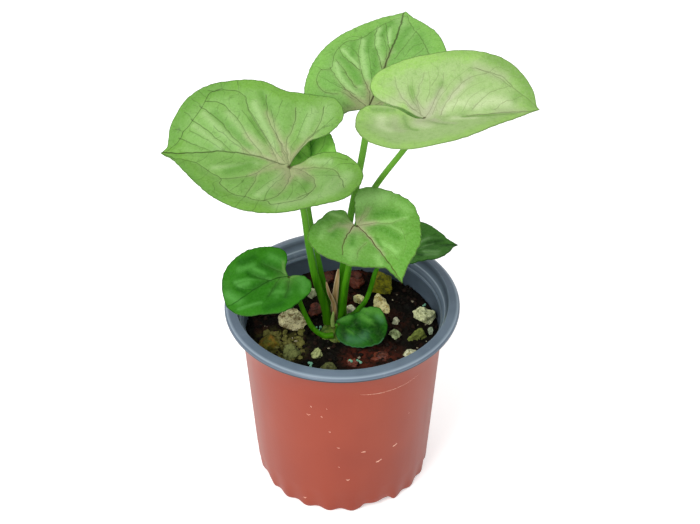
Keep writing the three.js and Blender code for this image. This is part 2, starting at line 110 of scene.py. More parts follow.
# ---------- pot ----------
# A nursery pot drawn from one sheet of plastic, terracotta outside and blue-grey inside and
# on the flat rim. It has a stacking step under the rim, a scalloped foot and a raised floor,
# which is closed here: the drain holes are only in the CAD pot.
MM = 0.001
FOOT_RADIUS = 39.8
WALL_TAPER = 0.066
WALL = 1.0
SEAM = 1e-7
SCALLOP = {"count": 23, "first": 6.5, "depth": 0.8, "height": 1.0, "top": 14}
FOOT_NOTCH = {"count": 4, "angle": 24, "width": 27, "side": 5, "height": 2.8, "top": 6}
RECESS_RADIUS = 33


def srgb(red, green, blue):
    """A colour given as 0 to 255 on a screen, as the shader wants it."""
    linear = [((c / 255 + 0.055) / 1.055) ** 2.4 if c > 10 else c / 255 / 12.92 for c in (red, green, blue)]
    return (*linear, 1)


class Finish:
    """A material made of nodes. Each method adds a node and returns its output."""

    def __init__(self, name, roughness, specular=0.5, **sockets):
        self.material = bpy.data.materials.new(name)
        self.material.use_nodes = True
        self.nodes = self.material.node_tree.nodes
        self.links = self.material.node_tree.links
        self.shader = self.nodes["Principled BSDF"]
        self.shader.inputs["Roughness"].default_value = roughness
        self.shader.inputs["Specular IOR Level"].default_value = specular
        for socket, value in sockets.items():
            self.shader.inputs[socket.replace("_", " ")].default_value = value
        self.place = self.add("TexCoord", {}, "Object")

    def add(self, kind, inputs, output=0, **settings):
        node = self.nodes.new("ShaderNode" + kind)
        for key, value in settings.items():
            setattr(node, key, value)
        for socket, value in inputs.items():
            if isinstance(value, bpy.types.NodeSocket):
                self.links.new(value, node.inputs[socket])
            else:
                node.inputs[socket].default_value = value
        return node.outputs[output]

    def noise(self, scale, detail=3, rough=0.6, warp=0, at=None):
        inputs = {"Vector": at or self.place, "Scale": scale, "Detail": detail}
        inputs.update({"Roughness": rough, "Distortion": warp})
        return self.add("TexNoise", inputs, "Fac")

    def cells(self, scale, feature="F1", at=None):
        inputs = {"Vector": at or self.place, "Scale": scale}
        return self.add("TexVoronoi", inputs, "Distance", feature=feature)

    def stretched(self, x, y, z):
        return self.add("Mapping", {"Vector": self.place, "Scale": (x, y, z)})

    def painted(self, attribute):
        return self.add("Attribute", {}, "Fac", attribute_name=attribute)

    def line(self, attribute, width, strength):
        """A thin line where the first number of the attribute, a distance in mm, is nought."""
        distances = self.add("Attribute", {}, "Vector", attribute_name=attribute)
        split = self.nodes.new("ShaderNodeSeparateXYZ")
        self.links.new(distances, split.inputs[0])
        off = self.add("Math", {0: split.outputs[0]}, operation="ABSOLUTE")
        near = self.times(self.ramp(off, 0.1 * width, width, 1, 0), self.ramp(split.outputs[1], 0.7, 1.4, 1, 0))
        return self.times(self.times(near, split.outputs[2]), strength)

    def ramp(self, value, low, high, start=0, end=1):
        inputs = {"Value": value, "From Min": low, "From Max": high, "To Min": start, "To Max": end}
        return self.add("MapRange", inputs, interpolation_type="SMOOTHSTEP")

    def times(self, one, other):
        return self.add("Math", {0: one, 1: other}, operation="MULTIPLY")

    def plus(self, one, other):
        return self.add("Math", {0: one, 1: other}, operation="ADD")

    def blend(self, share, one, other):
        inputs = {"Factor": share, 6: one, 7: other}
        return self.add("Mix", inputs, 2, data_type="RGBA")

    def colour(self, output):
        self.links.new(output, self.shader.inputs["Base Color"])

    def roughness(self, output):
        self.links.new(output, self.shader.inputs["Roughness"])

    def relief(self, height, depth):
        """Fine relief, with its depth in millimetres."""
        inputs = {"Height": height, "Distance": depth * MM, "Strength": 1}
        self.links.new(self.add("Bump", inputs), self.shader.inputs["Normal"])


def unit_sheet(columns, rows):
    """A flat sheet from 0 to 1 both ways, to be moved into a shape."""
    sheet = bmesh.new()
    bmesh.ops.create_grid(sheet, x_segments=columns, y_segments=rows, size=0.5)
    bmesh.ops.translate(sheet, verts=sheet.verts, vec=(0.5, 0.5, 0))
    return sheet


def close_up(shape):
    """Joins the seams of a shape and turns its faces outwards."""
    bmesh.ops.remove_doubles(shape, verts=shape.verts, dist=SEAM)
    bmesh.ops.recalc_face_normals(shape, faces=shape.faces)


def set_down(name, shape, finishes, slot, *nodes, sharp=40):
    """Makes the shape a piece of the plant that stands for the CAD nodes."""
    mesh = bpy.data.meshes.new(name)
    shape.to_mesh(mesh)
    shape.free()
    for finish in finishes:
        mesh.materials.append(finish.material)
    mesh.shade_smooth()
    mesh.set_sharp_from_angle(angle=radians(sharp))
    made = bpy.data.objects.new(name, mesh)
    bpy.context.collection.objects.link(made)
    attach(made, "root")
    if nodes:
        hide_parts(*nodes)
    return made


def wall_radius(z):
    return FOOT_RADIUS + WALL_TAPER * z


def scallop(turn):
    return (1 - cos(SCALLOP["count"] * (turn - radians(SCALLOP["first"])))) / 2


def notch(turn):
    pitch = 2 * pi / FOOT_NOTCH["count"]
    off = (turn - radians(FOOT_NOTCH["angle"]) + pitch / 2) % pitch - pitch / 2
    into = min(max((radians(FOOT_NOTCH["width"] / 2) - abs(off)) / radians(FOOT_NOTCH["side"]), 0), 1)
    cut = into * into * (3 - 2 * into)
    return max(scallop(turn) * SCALLOP["height"], cut * FOOT_NOTCH["height"])


POT_OUTSIDE = [
    (0, 0), (12, 0), (12.7, 0.5), (13.4, 1.4), (33.5, 1.4), (34.6, 0.9), (35.5, 0), (38.9, 0), (39.5, 0.2),
    (39.8, 0.8), (wall_radius(3), 3), (wall_radius(6), 6), (wall_radius(10), 10), (wall_radius(14), 14),
    (wall_radius(50), 50), (wall_radius(87.2), 87.2), (45.75, 87.8), (46.8, 88.9), (47.1, 89.6), (47.9, 91.6),
    (48.3, 91.9), (51.3, 91.2),
]
POT_INSIDE = [
    (51.9, 91.25), (52.35, 91.5), (52.5, 91.9), (52.5, 92.5), (52.3, 93), (51.7, 93.45), (48.4, 94.7),
    (47.9, 94.8), (47.55, 94.72), (47.4, 94.4), (46.1, 90), (45.9, 89.6), (44.8, 88.5), (44.55, 87.9),
    (44.45, 86.4), (44.1, 86.1), (44.0, 85.2), (wall_radius(84.6) - WALL, 84.6), (wall_radius(50) - WALL, 50),
    (wall_radius(14) - WALL, 14), (39.2, 6), (38.2, 3.4), (37.2, 2.4), (32.5, 2.4), (12.8, 2.4), (11.9, 1.9),
    (11.2, 1), (0, 1),
]
POT_PROFILE = POT_OUTSIDE + POT_INSIDE
POT_STEPS = 3
POT_SIDES = 360
# painted highlights on the edges that catch the light: radius, height, width and strength
LIT_EDGES = [(51.5, 93.5, 0.4, 0.7), (47.5, 94.6, 0.4, 0.15), (46, 89.7, 0.25, 0.8), (44.5, 86.8, 0.25, 0.65)]

terracotta = Finish("terracotta_plastic", 0.42, 0.36, Coat_Weight=0.12, Coat_Roughness=0.2)
cloud = terracotta.ramp(terracotta.noise(22, 2), 0.35, 0.7)
streak = terracotta.noise(60, 3, at=terracotta.stretched(1, 1, 0.08))
clay = terracotta.blend(cloud, srgb(151, 58, 32), srgb(143, 52, 28))
clay = terracotta.blend(terracotta.ramp(streak, 0.4, 0.75, 0, 0.35), clay, srgb(157, 68, 42))
dust = terracotta.ramp(terracotta.cells(900), 0.0, 0.09, 0.5, 0)
dust = terracotta.times(dust, terracotta.ramp(terracotta.noise(90), 0.55, 0.7))
clay = terracotta.blend(dust, clay, srgb(214, 160, 146))
# painted shade: the clay darkens on the underside of the rim's lip
clay = terracotta.blend(terracotta.painted("painted_rim_shade"), clay, srgb(62, 34, 30))
terracotta.colour(clay)
terracotta.roughness(terracotta.ramp(streak, 0.3, 0.8, 0.34, 0.46))
terracotta.relief(terracotta.noise(700, 2), 0.02)

blue_grey = Finish("blue_grey_plastic", 0.36, 0.45, Coat_Weight=0.1, Coat_Roughness=0.25)
haze = blue_grey.ramp(blue_grey.noise(45, 3), 0.35, 0.7)
grey = blue_grey.blend(haze, srgb(88, 103, 119), srgb(100, 115, 131))
scuff = blue_grey.ramp(blue_grey.noise(400, 4, at=blue_grey.stretched(1, 1, 0.3)), 0.62, 0.75, 0, 0.35)
grey = blue_grey.blend(scuff, grey, srgb(140, 150, 158))
# painted highlights along the rim's edges
grey = blue_grey.blend(blue_grey.painted("painted_edge_highlight"), grey, srgb(176, 192, 206))
# painted shade: dark on the lip's underside and in a thin line inside just under the rim
blue_grey.colour(blue_grey.blend(blue_grey.painted("painted_rim_shade"), grey, srgb(30, 36, 44)))
blue_grey.relief(blue_grey.noise(500, 2), 0.02)

shape = unit_sheet((len(POT_PROFILE) - 1) * POT_STEPS, POT_SIDES)
rim_shade_layer = shape.verts.layers.float.new("painted_rim_shade")
edge_highlight_layer = shape.verts.layers.float.new("painted_edge_highlight")
edge_of_clay = (len(POT_OUTSIDE) - 0.5) / (len(POT_PROFILE) - 1)
for face in shape.faces:
    face.material_index = int(face.calc_center_median().x > edge_of_clay)
profile_r = [r for r, z in POT_PROFILE]
profile_z = [z for r, z in POT_PROFILE]
for vert in shape.verts:
    at = vert.co.x * (len(POT_PROFILE) - 1)
    r = float(np.interp(at, range(len(POT_PROFILE)), profile_r))
    z = float(np.interp(at, range(len(POT_PROFILE)), profile_z))
    turn = 2 * pi * vert.co.y
    # painted shade under the rim's lip, outside, and in a thin line inside under the rim
    vert[rim_shade_layer] = float(51.8 < r and z < 92.2) + 0.6 * exp(-((hypot(r - 47.1, z - 93.4) / 0.8) ** 2))
    # painted highlights on the rim's edges
    vert[edge_highlight_layer] = sum(
        share * exp(-((hypot(r - u, z - v) / width) ** 2)) for u, v, width, share in LIT_EDGES)
    if r >= RECESS_RADIUS and z < SCALLOP["top"]:
        outer = min((r - RECESS_RADIUS) / 2, 1)
        lifted = notch(turn) * outer * max(1 - z / FOOT_NOTCH["top"], 0)
        r -= scallop(turn) * SCALLOP["depth"] * outer * (1 - z / SCALLOP["top"])
        z += lifted
    vert.co = (r * sin(turn) * MM, -r * cos(turn) * MM, z * MM)
close_up(shape)
set_down("nursery_pot", shape, [terracotta, blue_grey], "pot_plastic", "pot", sharp=50)

# pale nicks and one long fine scratch in the wall: width, then turn in degrees and height
NICKS = [
    (0.35, [(-18.2, 68.9), (-17.2, 68.3)]), (0.4, [(-20.6, 63.4), (-19.5, 62.8), (-18.4, 63.4)]),
    (0.3, [(-9, 68.8), (-8.2, 68.4)]), (0.35, [(-12.2, 63.4), (-11.2, 62.9)]), (0.35, [(-7.8, 54.2), (-6.6, 53.9)]),
    (0.35, [(-3, 44), (-1.4, 43.7)]), (0.3, [(-2.6, 31.3), (-1.4, 30.9)]),
    (0.45, [(2.4, 22.5), (3.6, 22), (4.6, 22.6)]), (0.5, [(11.4, 40), (12.9, 40.2), (14.4, 40)]),
    (0.7, [(21.2, 31.4), (23.1, 31.6), (25, 32.4)]), (0.6, [(32.4, 38), (34, 38.2), (35.6, 38.8)]),
    (0.3, [(43.2, 54.3), (43.6, 55.1)]), (0.4, [(-26.5, 5.9), (-25.4, 5.6), (-24.4, 6.2)]),
    (0.16, [(10, 77.4), (13.2, 76.9), (21, 76), (30.1, 75.6), (40, 75.5), (49.4, 76)]),
]
nick_finish = Finish("bared_plastic", 0.5, 0.4)
bared = nick_finish.ramp(nick_finish.noise(900), 0.3, 0.7)
nick_finish.colour(nick_finish.blend(bared, srgb(212, 140, 116), srgb(255, 214, 190)))
shape = bmesh.new()
for width, points in NICKS:
    marks = len(points) * 6 - 5
    at, given = np.linspace(0, len(points) - 1, marks), range(len(points))
    turns = np.interp(at, given, [radians(t) for t, z in points])
    heights = np.interp(at, given, [z for t, z in points])
    sides = []
    for k, (turn, z) in enumerate(zip(turns, heights)):
        half = width / 2 * sin(pi * (k + 0.4) / marks) ** 0.5
        for shift in (-half, half):
            r = wall_radius(z + shift) + 0.02
            sides.append(shape.verts.new((r * sin(turn) * MM, -r * cos(turn) * MM, (z + shift) * MM)))
    for k in range(marks - 1):
        shape.faces.new((sides[2 * k], sides[2 * k + 2], sides[2 * k + 3], sides[2 * k + 1]))
set_down("nicks_in_pot", shape, [nick_finish], "pot_plastic", sharp=180)

# ---------- soil ----------
# Damp dark potting compost that fills the pot to 17 mm under the rim, with crumbs of peat
# and red-brown bark, a little moss at the left, white grit and a few teal feed granules.
SOIL_TOP = 77
SOIL_RINGS = 120
SOIL_SIDES = 300
SOIL_EDGE = wall_radius(SOIL_TOP) - WALL - 0.15
SOIL_SIDE = [(0, 2.7), (33, 2.7), (38.4, 8.5), (39.5, 14), (SOIL_EDGE - 0.4, 70), (SOIL_EDGE, 76)]
MOSS_X, MOSS_Y = -28, -12
MOSS_RADIUS = 15
CRUMBS = 820
CRUMB_REACH = 43.2
MOSSY_CRUMBS = 110
BARK_DUST = [(8, -20, 11), (18, -17, 11), (0, 22, 9), (-7, 37, 9), (8, 40, 8)]
GRANULES = [(37.4, 15.6), (-10.7, -0.3), (3.5, -22.8), (7.5, -23.5), (-14.1, -26.1), (-0.9, -29.4)]


def soil_height(x, y):
    return SOIL_TOP + 0.4 * (sin(0.31 * x + 0.7) * cos(0.27 * y) + sin(0.17 * (x - y)))


soil_finish = Finish("damp_compost", 0.85, 0.15)
lump = soil_finish.noise(160, 5, 0.7)
earth = soil_finish.blend(soil_finish.ramp(lump, 0.35, 0.7), srgb(8, 6, 3), srgb(24, 16, 9))
rust = soil_finish.ramp(soil_finish.noise(110, 3), 0.55, 0.68, 0, 0.6)
earth = soil_finish.blend(rust, earth, srgb(56, 22, 10))
fibres = soil_finish.ramp(soil_finish.noise(190, 4, 0.7), 0.36, 0.6)
earth = soil_finish.blend(soil_finish.times(soil_finish.painted("bark_dust"), fibres), earth, srgb(88, 34, 20))
green = soil_finish.times(soil_finish.painted("moss"), soil_finish.ramp(soil_finish.noise(300, 4), 0.36, 0.56))
earth = soil_finish.blend(green, earth, srgb(104, 101, 42))
grit = soil_finish.ramp(soil_finish.cells(420), 0.0, 0.12, 0.8, 0)
grit = soil_finish.times(grit, soil_finish.ramp(soil_finish.noise(240, 1), 0.6, 0.66))
earth = soil_finish.blend(grit, earth, srgb(206, 200, 176))
soil_finish.colour(earth)
soil_finish.roughness(soil_finish.ramp(lump, 0.3, 0.7, 0.55, 0.95))
soil_finish.relief(soil_finish.noise(900, 4, 0.7), 0.25)

shape = unit_sheet(SOIL_RINGS + len(SOIL_SIDE), SOIL_SIDES)
moss_layer = shape.verts.layers.float.new("moss")
dust_layer = shape.verts.layers.float.new("bark_dust")
for vert in shape.verts:
    step = round(vert.co.x * (SOIL_RINGS + len(SOIL_SIDE))) - len(SOIL_SIDE)
    turn = 2 * pi * vert.co.y
    if step < 0:
        r, z = SOIL_SIDE[step]
    else:
        r = (SOIL_EDGE - 0.3) * (1 - step / SOIL_RINGS)
    x, y = r * sin(turn), -r * cos(turn)
    if step >= 0:
        coarse = noise.fractal(Vector((x, y, 4)) * 0.22, 0.8, 2.1, 4)
        fine = noise.fractal(Vector((x, y, 9)) * 0.8, 0.7, 2, 3)
        z = soil_height(x, y) + 0.9 * coarse + 0.35 * fine - 0.5 * max(0, (r - 41.5) / 2.4) ** 2
        vert[moss_layer] = max(0, 1 - hypot(x - MOSS_X, y - MOSS_Y) / MOSS_RADIUS)
        vert[dust_layer] = min(1, 1.4 * max(0, *(1 - hypot(x - u, y - v) / size for u, v, size in BARK_DUST)))
    vert.co = (x * MM, y * MM, z * MM)
close_up(shape)
set_down("compost", shape, [soil_finish], "soil", "soil", sharp=180)

crumb_finish = Finish("peat_and_bark_crumbs", 0.8, 0.2)
kind = crumb_finish.painted("shade")
tone = crumb_finish.blend(crumb_finish.ramp(kind, 0.0, 0.5), srgb(10, 7, 4), srgb(40, 19, 9))
tone = crumb_finish.blend(crumb_finish.ramp(kind, 0.6, 0.7), tone, srgb(120, 117, 58))
tone = crumb_finish.blend(crumb_finish.ramp(kind, 0.86, 0.88), tone, srgb(176, 166, 140))
speckle = crumb_finish.ramp(crumb_finish.noise(700, 3), 0.3, 0.7, 0, 0.5)
crumb_finish.colour(crumb_finish.blend(speckle, tone, srgb(30, 20, 14)))
crumb_finish.relief(crumb_finish.noise(1200, 3), 0.15)

chance = random.Random(7)
shape = bmesh.new()
shade_layer = shape.verts.layers.float.new("shade")
for number in range(CRUMBS + MOSSY_CRUMBS):
    r, turn = CRUMB_REACH * chance.random() ** 0.5, 2 * pi * chance.random()
    x, y = r * cos(turn), r * sin(turn)
    size = 0.35 + 1.1 * chance.random() ** 2.5
    shade = chance.random()
    if shade < 0.94:
        shade *= 0.6
    if number >= CRUMBS:
        x, y = -27 + 9 * chance.uniform(-1, 1), -12 + 10 * chance.uniform(-1, 1)
        size, shade = 0.6 + 1.3 * chance.random() ** 2, chance.uniform(0.66, 0.8)
    made = bmesh.ops.create_icosphere(shape, subdivisions=2 if size > 0.9 else 1, radius=1)["verts"]
    seed = Vector((chance.random(), chance.random(), chance.random())) * 50
    spread = (size * chance.uniform(0.7, 1.3), size * chance.uniform(0.6, 1), size * chance.uniform(0.4, 0.8))
    lean = chance.uniform(0, pi)
    for vert in made:
        rough = 1 + 0.5 * noise.noise(vert.co * 1.6 + seed)
        u, v, w = [c * s * rough for c, s in zip(vert.co, spread)]
        vert.co = ((x + u * cos(lean) - v * sin(lean)) * MM, (y + u * sin(lean) + v * cos(lean)) * MM,
                   (soil_height(x, y) + 0.35 * size + w) * MM)
        vert[shade_layer] = shade
set_down("crumbs_on_compost", shape, [crumb_finish], "soil", sharp=30)

granule_finish = Finish("teal_feed_granules", 0.6, 0.4)
granule_finish.colour(granule_finish.blend(granule_finish.noise(900), srgb(84, 150, 122), srgb(150, 206, 176)))
shape = bmesh.new()
for x, y in GRANULES:
    for _ in range(4):
        radius = chance.uniform(0.35, 0.7)
        at = Vector((x + chance.uniform(-1.1, 1.1), y + chance.uniform(-1.1, 1.1), 0))
        made = bmesh.ops.create_icosphere(shape, subdivisions=2, radius=radius * MM)["verts"]
        at.z = soil_height(at.x, at.y) + 0.9 + 0.5 * radius
        bmesh.ops.translate(shape, verts=made, vec=at * MM)
set_down("feed_granules", shape, [granule_finish], "soil", sharp=60)

# ---------- stones and bark ----------
# Pumice, tuff and gravel of many kinds with chips of pine bark, pressed half into the top
# of the compost. Each has its own colour; the pumice is pitted and some stones are mossy.
STONE_LOOKS = {
    # main colour, second colour, depth of the pits, moss
    "pumice_left": ((228, 220, 172), (120, 102, 60), 1.0, 0.0),
    "mossy_left": ((112, 108, 26), (142, 98, 16), 0.5, 0.6),
    "olive_front_left": ((120, 126, 70), (66, 70, 30), 0.6, 0.4),
    "pale_green_front": ((184, 192, 130), (104, 114, 60), 0.5, 0.3),
    "dark_front": ((96, 100, 54), (58, 58, 30), 0.4, 0.3),
    "beige_right": ((220, 224, 174), (136, 142, 94), 0.5, 0.25),
    "olive_right": ((126, 138, 58), (84, 96, 34), 0.4, 0.5),
    "grey_small_right": ((166, 180, 150), (110, 120, 96), 0.2, 0.1),
    "pale_front_right": ((226, 226, 190), (160, 156, 112), 0.3, 0.1),
    "long_beige": ((250, 240, 178), (196, 174, 100), 0.4, 0.0),
    "pale_flake": ((214, 214, 184), (146, 142, 104), 0.2, 0.0),
    "grey_green_right": ((160, 174, 124), (104, 116, 72), 0.3, 0.2),
    "white_flat": ((255, 252, 226), (236, 226, 186), 0.1, 0.0),
    "yellow_small": ((255, 250, 190), (244, 226, 150), 0.2, 0.0),
    "olive_back": ((140, 138, 16), (84, 86, 12), 0.4, 0.4),
    "pale_back_left": ((214, 220, 180), (150, 150, 108), 0.3, 0.1),
}
STONE_CUTS = 5
CHIP_FACES = 12
BARK = ["bark_left", "bark_back_left", "bark_back", "bark_middle", "bark_front_right", "bark_front"]


def refined(node):
    """A closed copy of a CAD node's mesh with finer faces and softer edges."""
    copy = bmesh.new()
    copy.from_mesh(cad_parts[node].data)
    bmesh.ops.remove_doubles(copy, verts=copy.verts, dist=1e-6)
    bmesh.ops.subdivide_edges(copy, edges=copy.edges, cuts=STONE_CUTS, use_grid_fill=True)
    bmesh.ops.smooth_vert(copy, verts=copy.verts, factor=0.5, use_axis_x=True, use_axis_y=True, use_axis_z=True)
    return copy


def chip(shape, seed, deepest):
    """Cuts flat faces into a rounded shape, each on the side that a seeded direction points to."""
    chance = random.Random(seed)
    corners = np.array([vert.co[:] for vert in shape.verts])
    middle, half = (corners.max(axis=0) + corners.min(axis=0)) / 2, (corners.max(axis=0) - corners.min(axis=0)) / 2
    at = (corners - middle) / half
    for _ in range(CHIP_FACES):
        out = np.array([chance.gauss(0, 1) for _ in range(3)])
        out /= np.linalg.norm(out)
        at -= np.maximum(at @ out - chance.uniform(deepest, 0.9), 0)[:, None] * out
    for vert, place in zip(shape.verts, middle + at * half * 1.06):
        vert.co = place


def push_out(shape, height):
    """Moves each point of a shape along its normal by height(point in mm), in mm."""
    shape.normal_update()
    moves = [(vert, vert.normal * height(vert.co / MM) * MM) for vert in shape.verts]
    for vert, move in moves:
        vert.co += move


for number, (name, (main, second, pits, moss)) in enumerate(STONE_LOOKS.items()):
    stone_finish = Finish("stone_" + name, 0.85, 0.35)
    vein = stone_finish.ramp(stone_finish.noise(430, 5, 0.75), 0.38, 0.56)
    tone = stone_finish.blend(vein, srgb(*second), srgb(*main))
    # painted shade: small dark pits on the stone's face
    pit_shade = stone_finish.ramp(stone_finish.cells(1100), 0.0, 0.45, 0.75, 0)
    pit_shade = stone_finish.times(pit_shade, stone_finish.ramp(stone_finish.noise(380, 3), 0.38, 0.52))
    tone = stone_finish.blend(pit_shade, tone, srgb(44, 36, 18))
    growth = stone_finish.ramp(stone_finish.noise(330, 4, 0.7), 0.62 - 0.3 * moss, 0.72 - 0.25 * moss, 0, moss)
    tone = stone_finish.blend(growth, tone, srgb(72, 80, 26))
    pale = stone_finish.ramp(stone_finish.noise(900, 3, 0.8), 0.6, 0.75, 0, 0.45)
    stone_finish.colour(stone_finish.blend(pale, tone, srgb(*[min(255, c + 40) for c in main])))
    stone_finish.relief(stone_finish.noise(1100, 4, 0.7), 0.25)
    shape = refined("stone_" + name)
    chip(shape, number + 3, 0.45)
    seed = Vector((number * 3.7, number * 1.3, 5))

    def stone_skin(point, seed=seed, pits=pits):
        facets = noise.voronoi(point * 0.45 + seed)[0][0]
        crater = max(0, noise.noise(point * 1.7 + seed) - 0.15)
        ridge = 0.3 - abs(noise.noise(point * 0.3 + seed))
        return 0.16 * facets + 0.9 * ridge - 0.1 - 1.7 * pits * crater + 0.15 * noise.noise(point * 2.4 + seed)

    push_out(shape, stone_skin)
    set_down("rough_stone_" + name, shape, [stone_finish], "stone", "stone_" + name, sharp=40)

bark_finish = Finish("pine_bark", 0.5, 0.5)
layer = bark_finish.noise(90, 5, 0.7, 0.8, at=bark_finish.stretched(1, 1, 3.5))
tone = bark_finish.blend(bark_finish.ramp(layer, 0.35, 0.65), srgb(32, 13, 7), srgb(122, 52, 29))
flake = bark_finish.ramp(bark_finish.noise(380, 4, 0.8), 0.62, 0.72, 0, 0.4)
bark_finish.colour(bark_finish.blend(flake, tone, srgb(176, 128, 100)))
bark_finish.relief(bark_finish.noise(500, 5, 0.7, at=bark_finish.stretched(1, 1, 3)), 0.4)
for number, name in enumerate(BARK):
    shape = refined(name)
    chip(shape, number + 50, 0.5)

    def bark_skin(point, seed=Vector((number * 5.1, 2, number * 2.3))):
        flat = Vector((point.x * 0.22, point.y * 0.22, point.z * 0.7)) + seed
        plates = noise.voronoi(flat)[0][0] + 0.4 * noise.voronoi(flat * 2.3)[0][0]
        return 1.1 * plates - 0.7 + 0.4 * noise.fractal(point * 0.9 + seed, 0.8, 2, 3)

    push_out(shape, bark_skin)
    set_down("rough_" + name, shape, [bark_finish], "bark", name, sharp=35)

# ---------- crown ----------
# The short fibrous stump that every stalk grows from, green to straw-coloured, with the
# ring scars of old leaves round it. It is rooted in the compost.
CROWN_X, CROWN_Y = -2.8, -3
CROWN_SHARE = [0, 0.12, 0.25, 0.55, 0.75, 1]
CROWN_RADIUS = [0, 4.5, 7, 7.4, 6.3, 0]
CROWN_HEIGHT = [64, 64, 70, 76.5, 78.8, 80.2]

crown_finish = Finish("crown_skin", 0.6, 0.4)
fibre = crown_finish.noise(500, 4, 0.7, at=crown_finish.stretched(1, 1, 0.25))
tone = crown_finish.blend(crown_finish.ramp(fibre, 0.35, 0.65), srgb(66, 110, 18), srgb(124, 150, 56))
stain = crown_finish.ramp(crown_finish.noise(200, 3), 0.52, 0.68, 0, 0.6)
crown_finish.colour(crown_finish.blend(stain, tone, srgb(74, 52, 30)))
crown_finish.relief(fibre, 0.3)
shape = unit_sheet(60, 96)
for vert in shape.verts:
    u, turn = vert.co.x, 2 * pi * vert.co.y
    r, z = (float(np.interp(u, CROWN_SHARE, line)) for line in (CROWN_RADIUS, CROWN_HEIGHT))
    ridge = 0.25 * sin(9 * turn + 2) * sin(pi * u) + 0.5 * noise.noise(Vector((cos(turn) * 2, sin(turn) * 2, u * 7)))
    r = max(0, r + ridge * min(1, r / 3))
    vert.co = ((CROWN_X + r * sin(turn)) * MM, (CROWN_Y - r * cos(turn)) * MM, z * MM)
close_up(shape)
set_down("crown_stump", shape, [crown_finish], "crown", "crown", sharp=60)
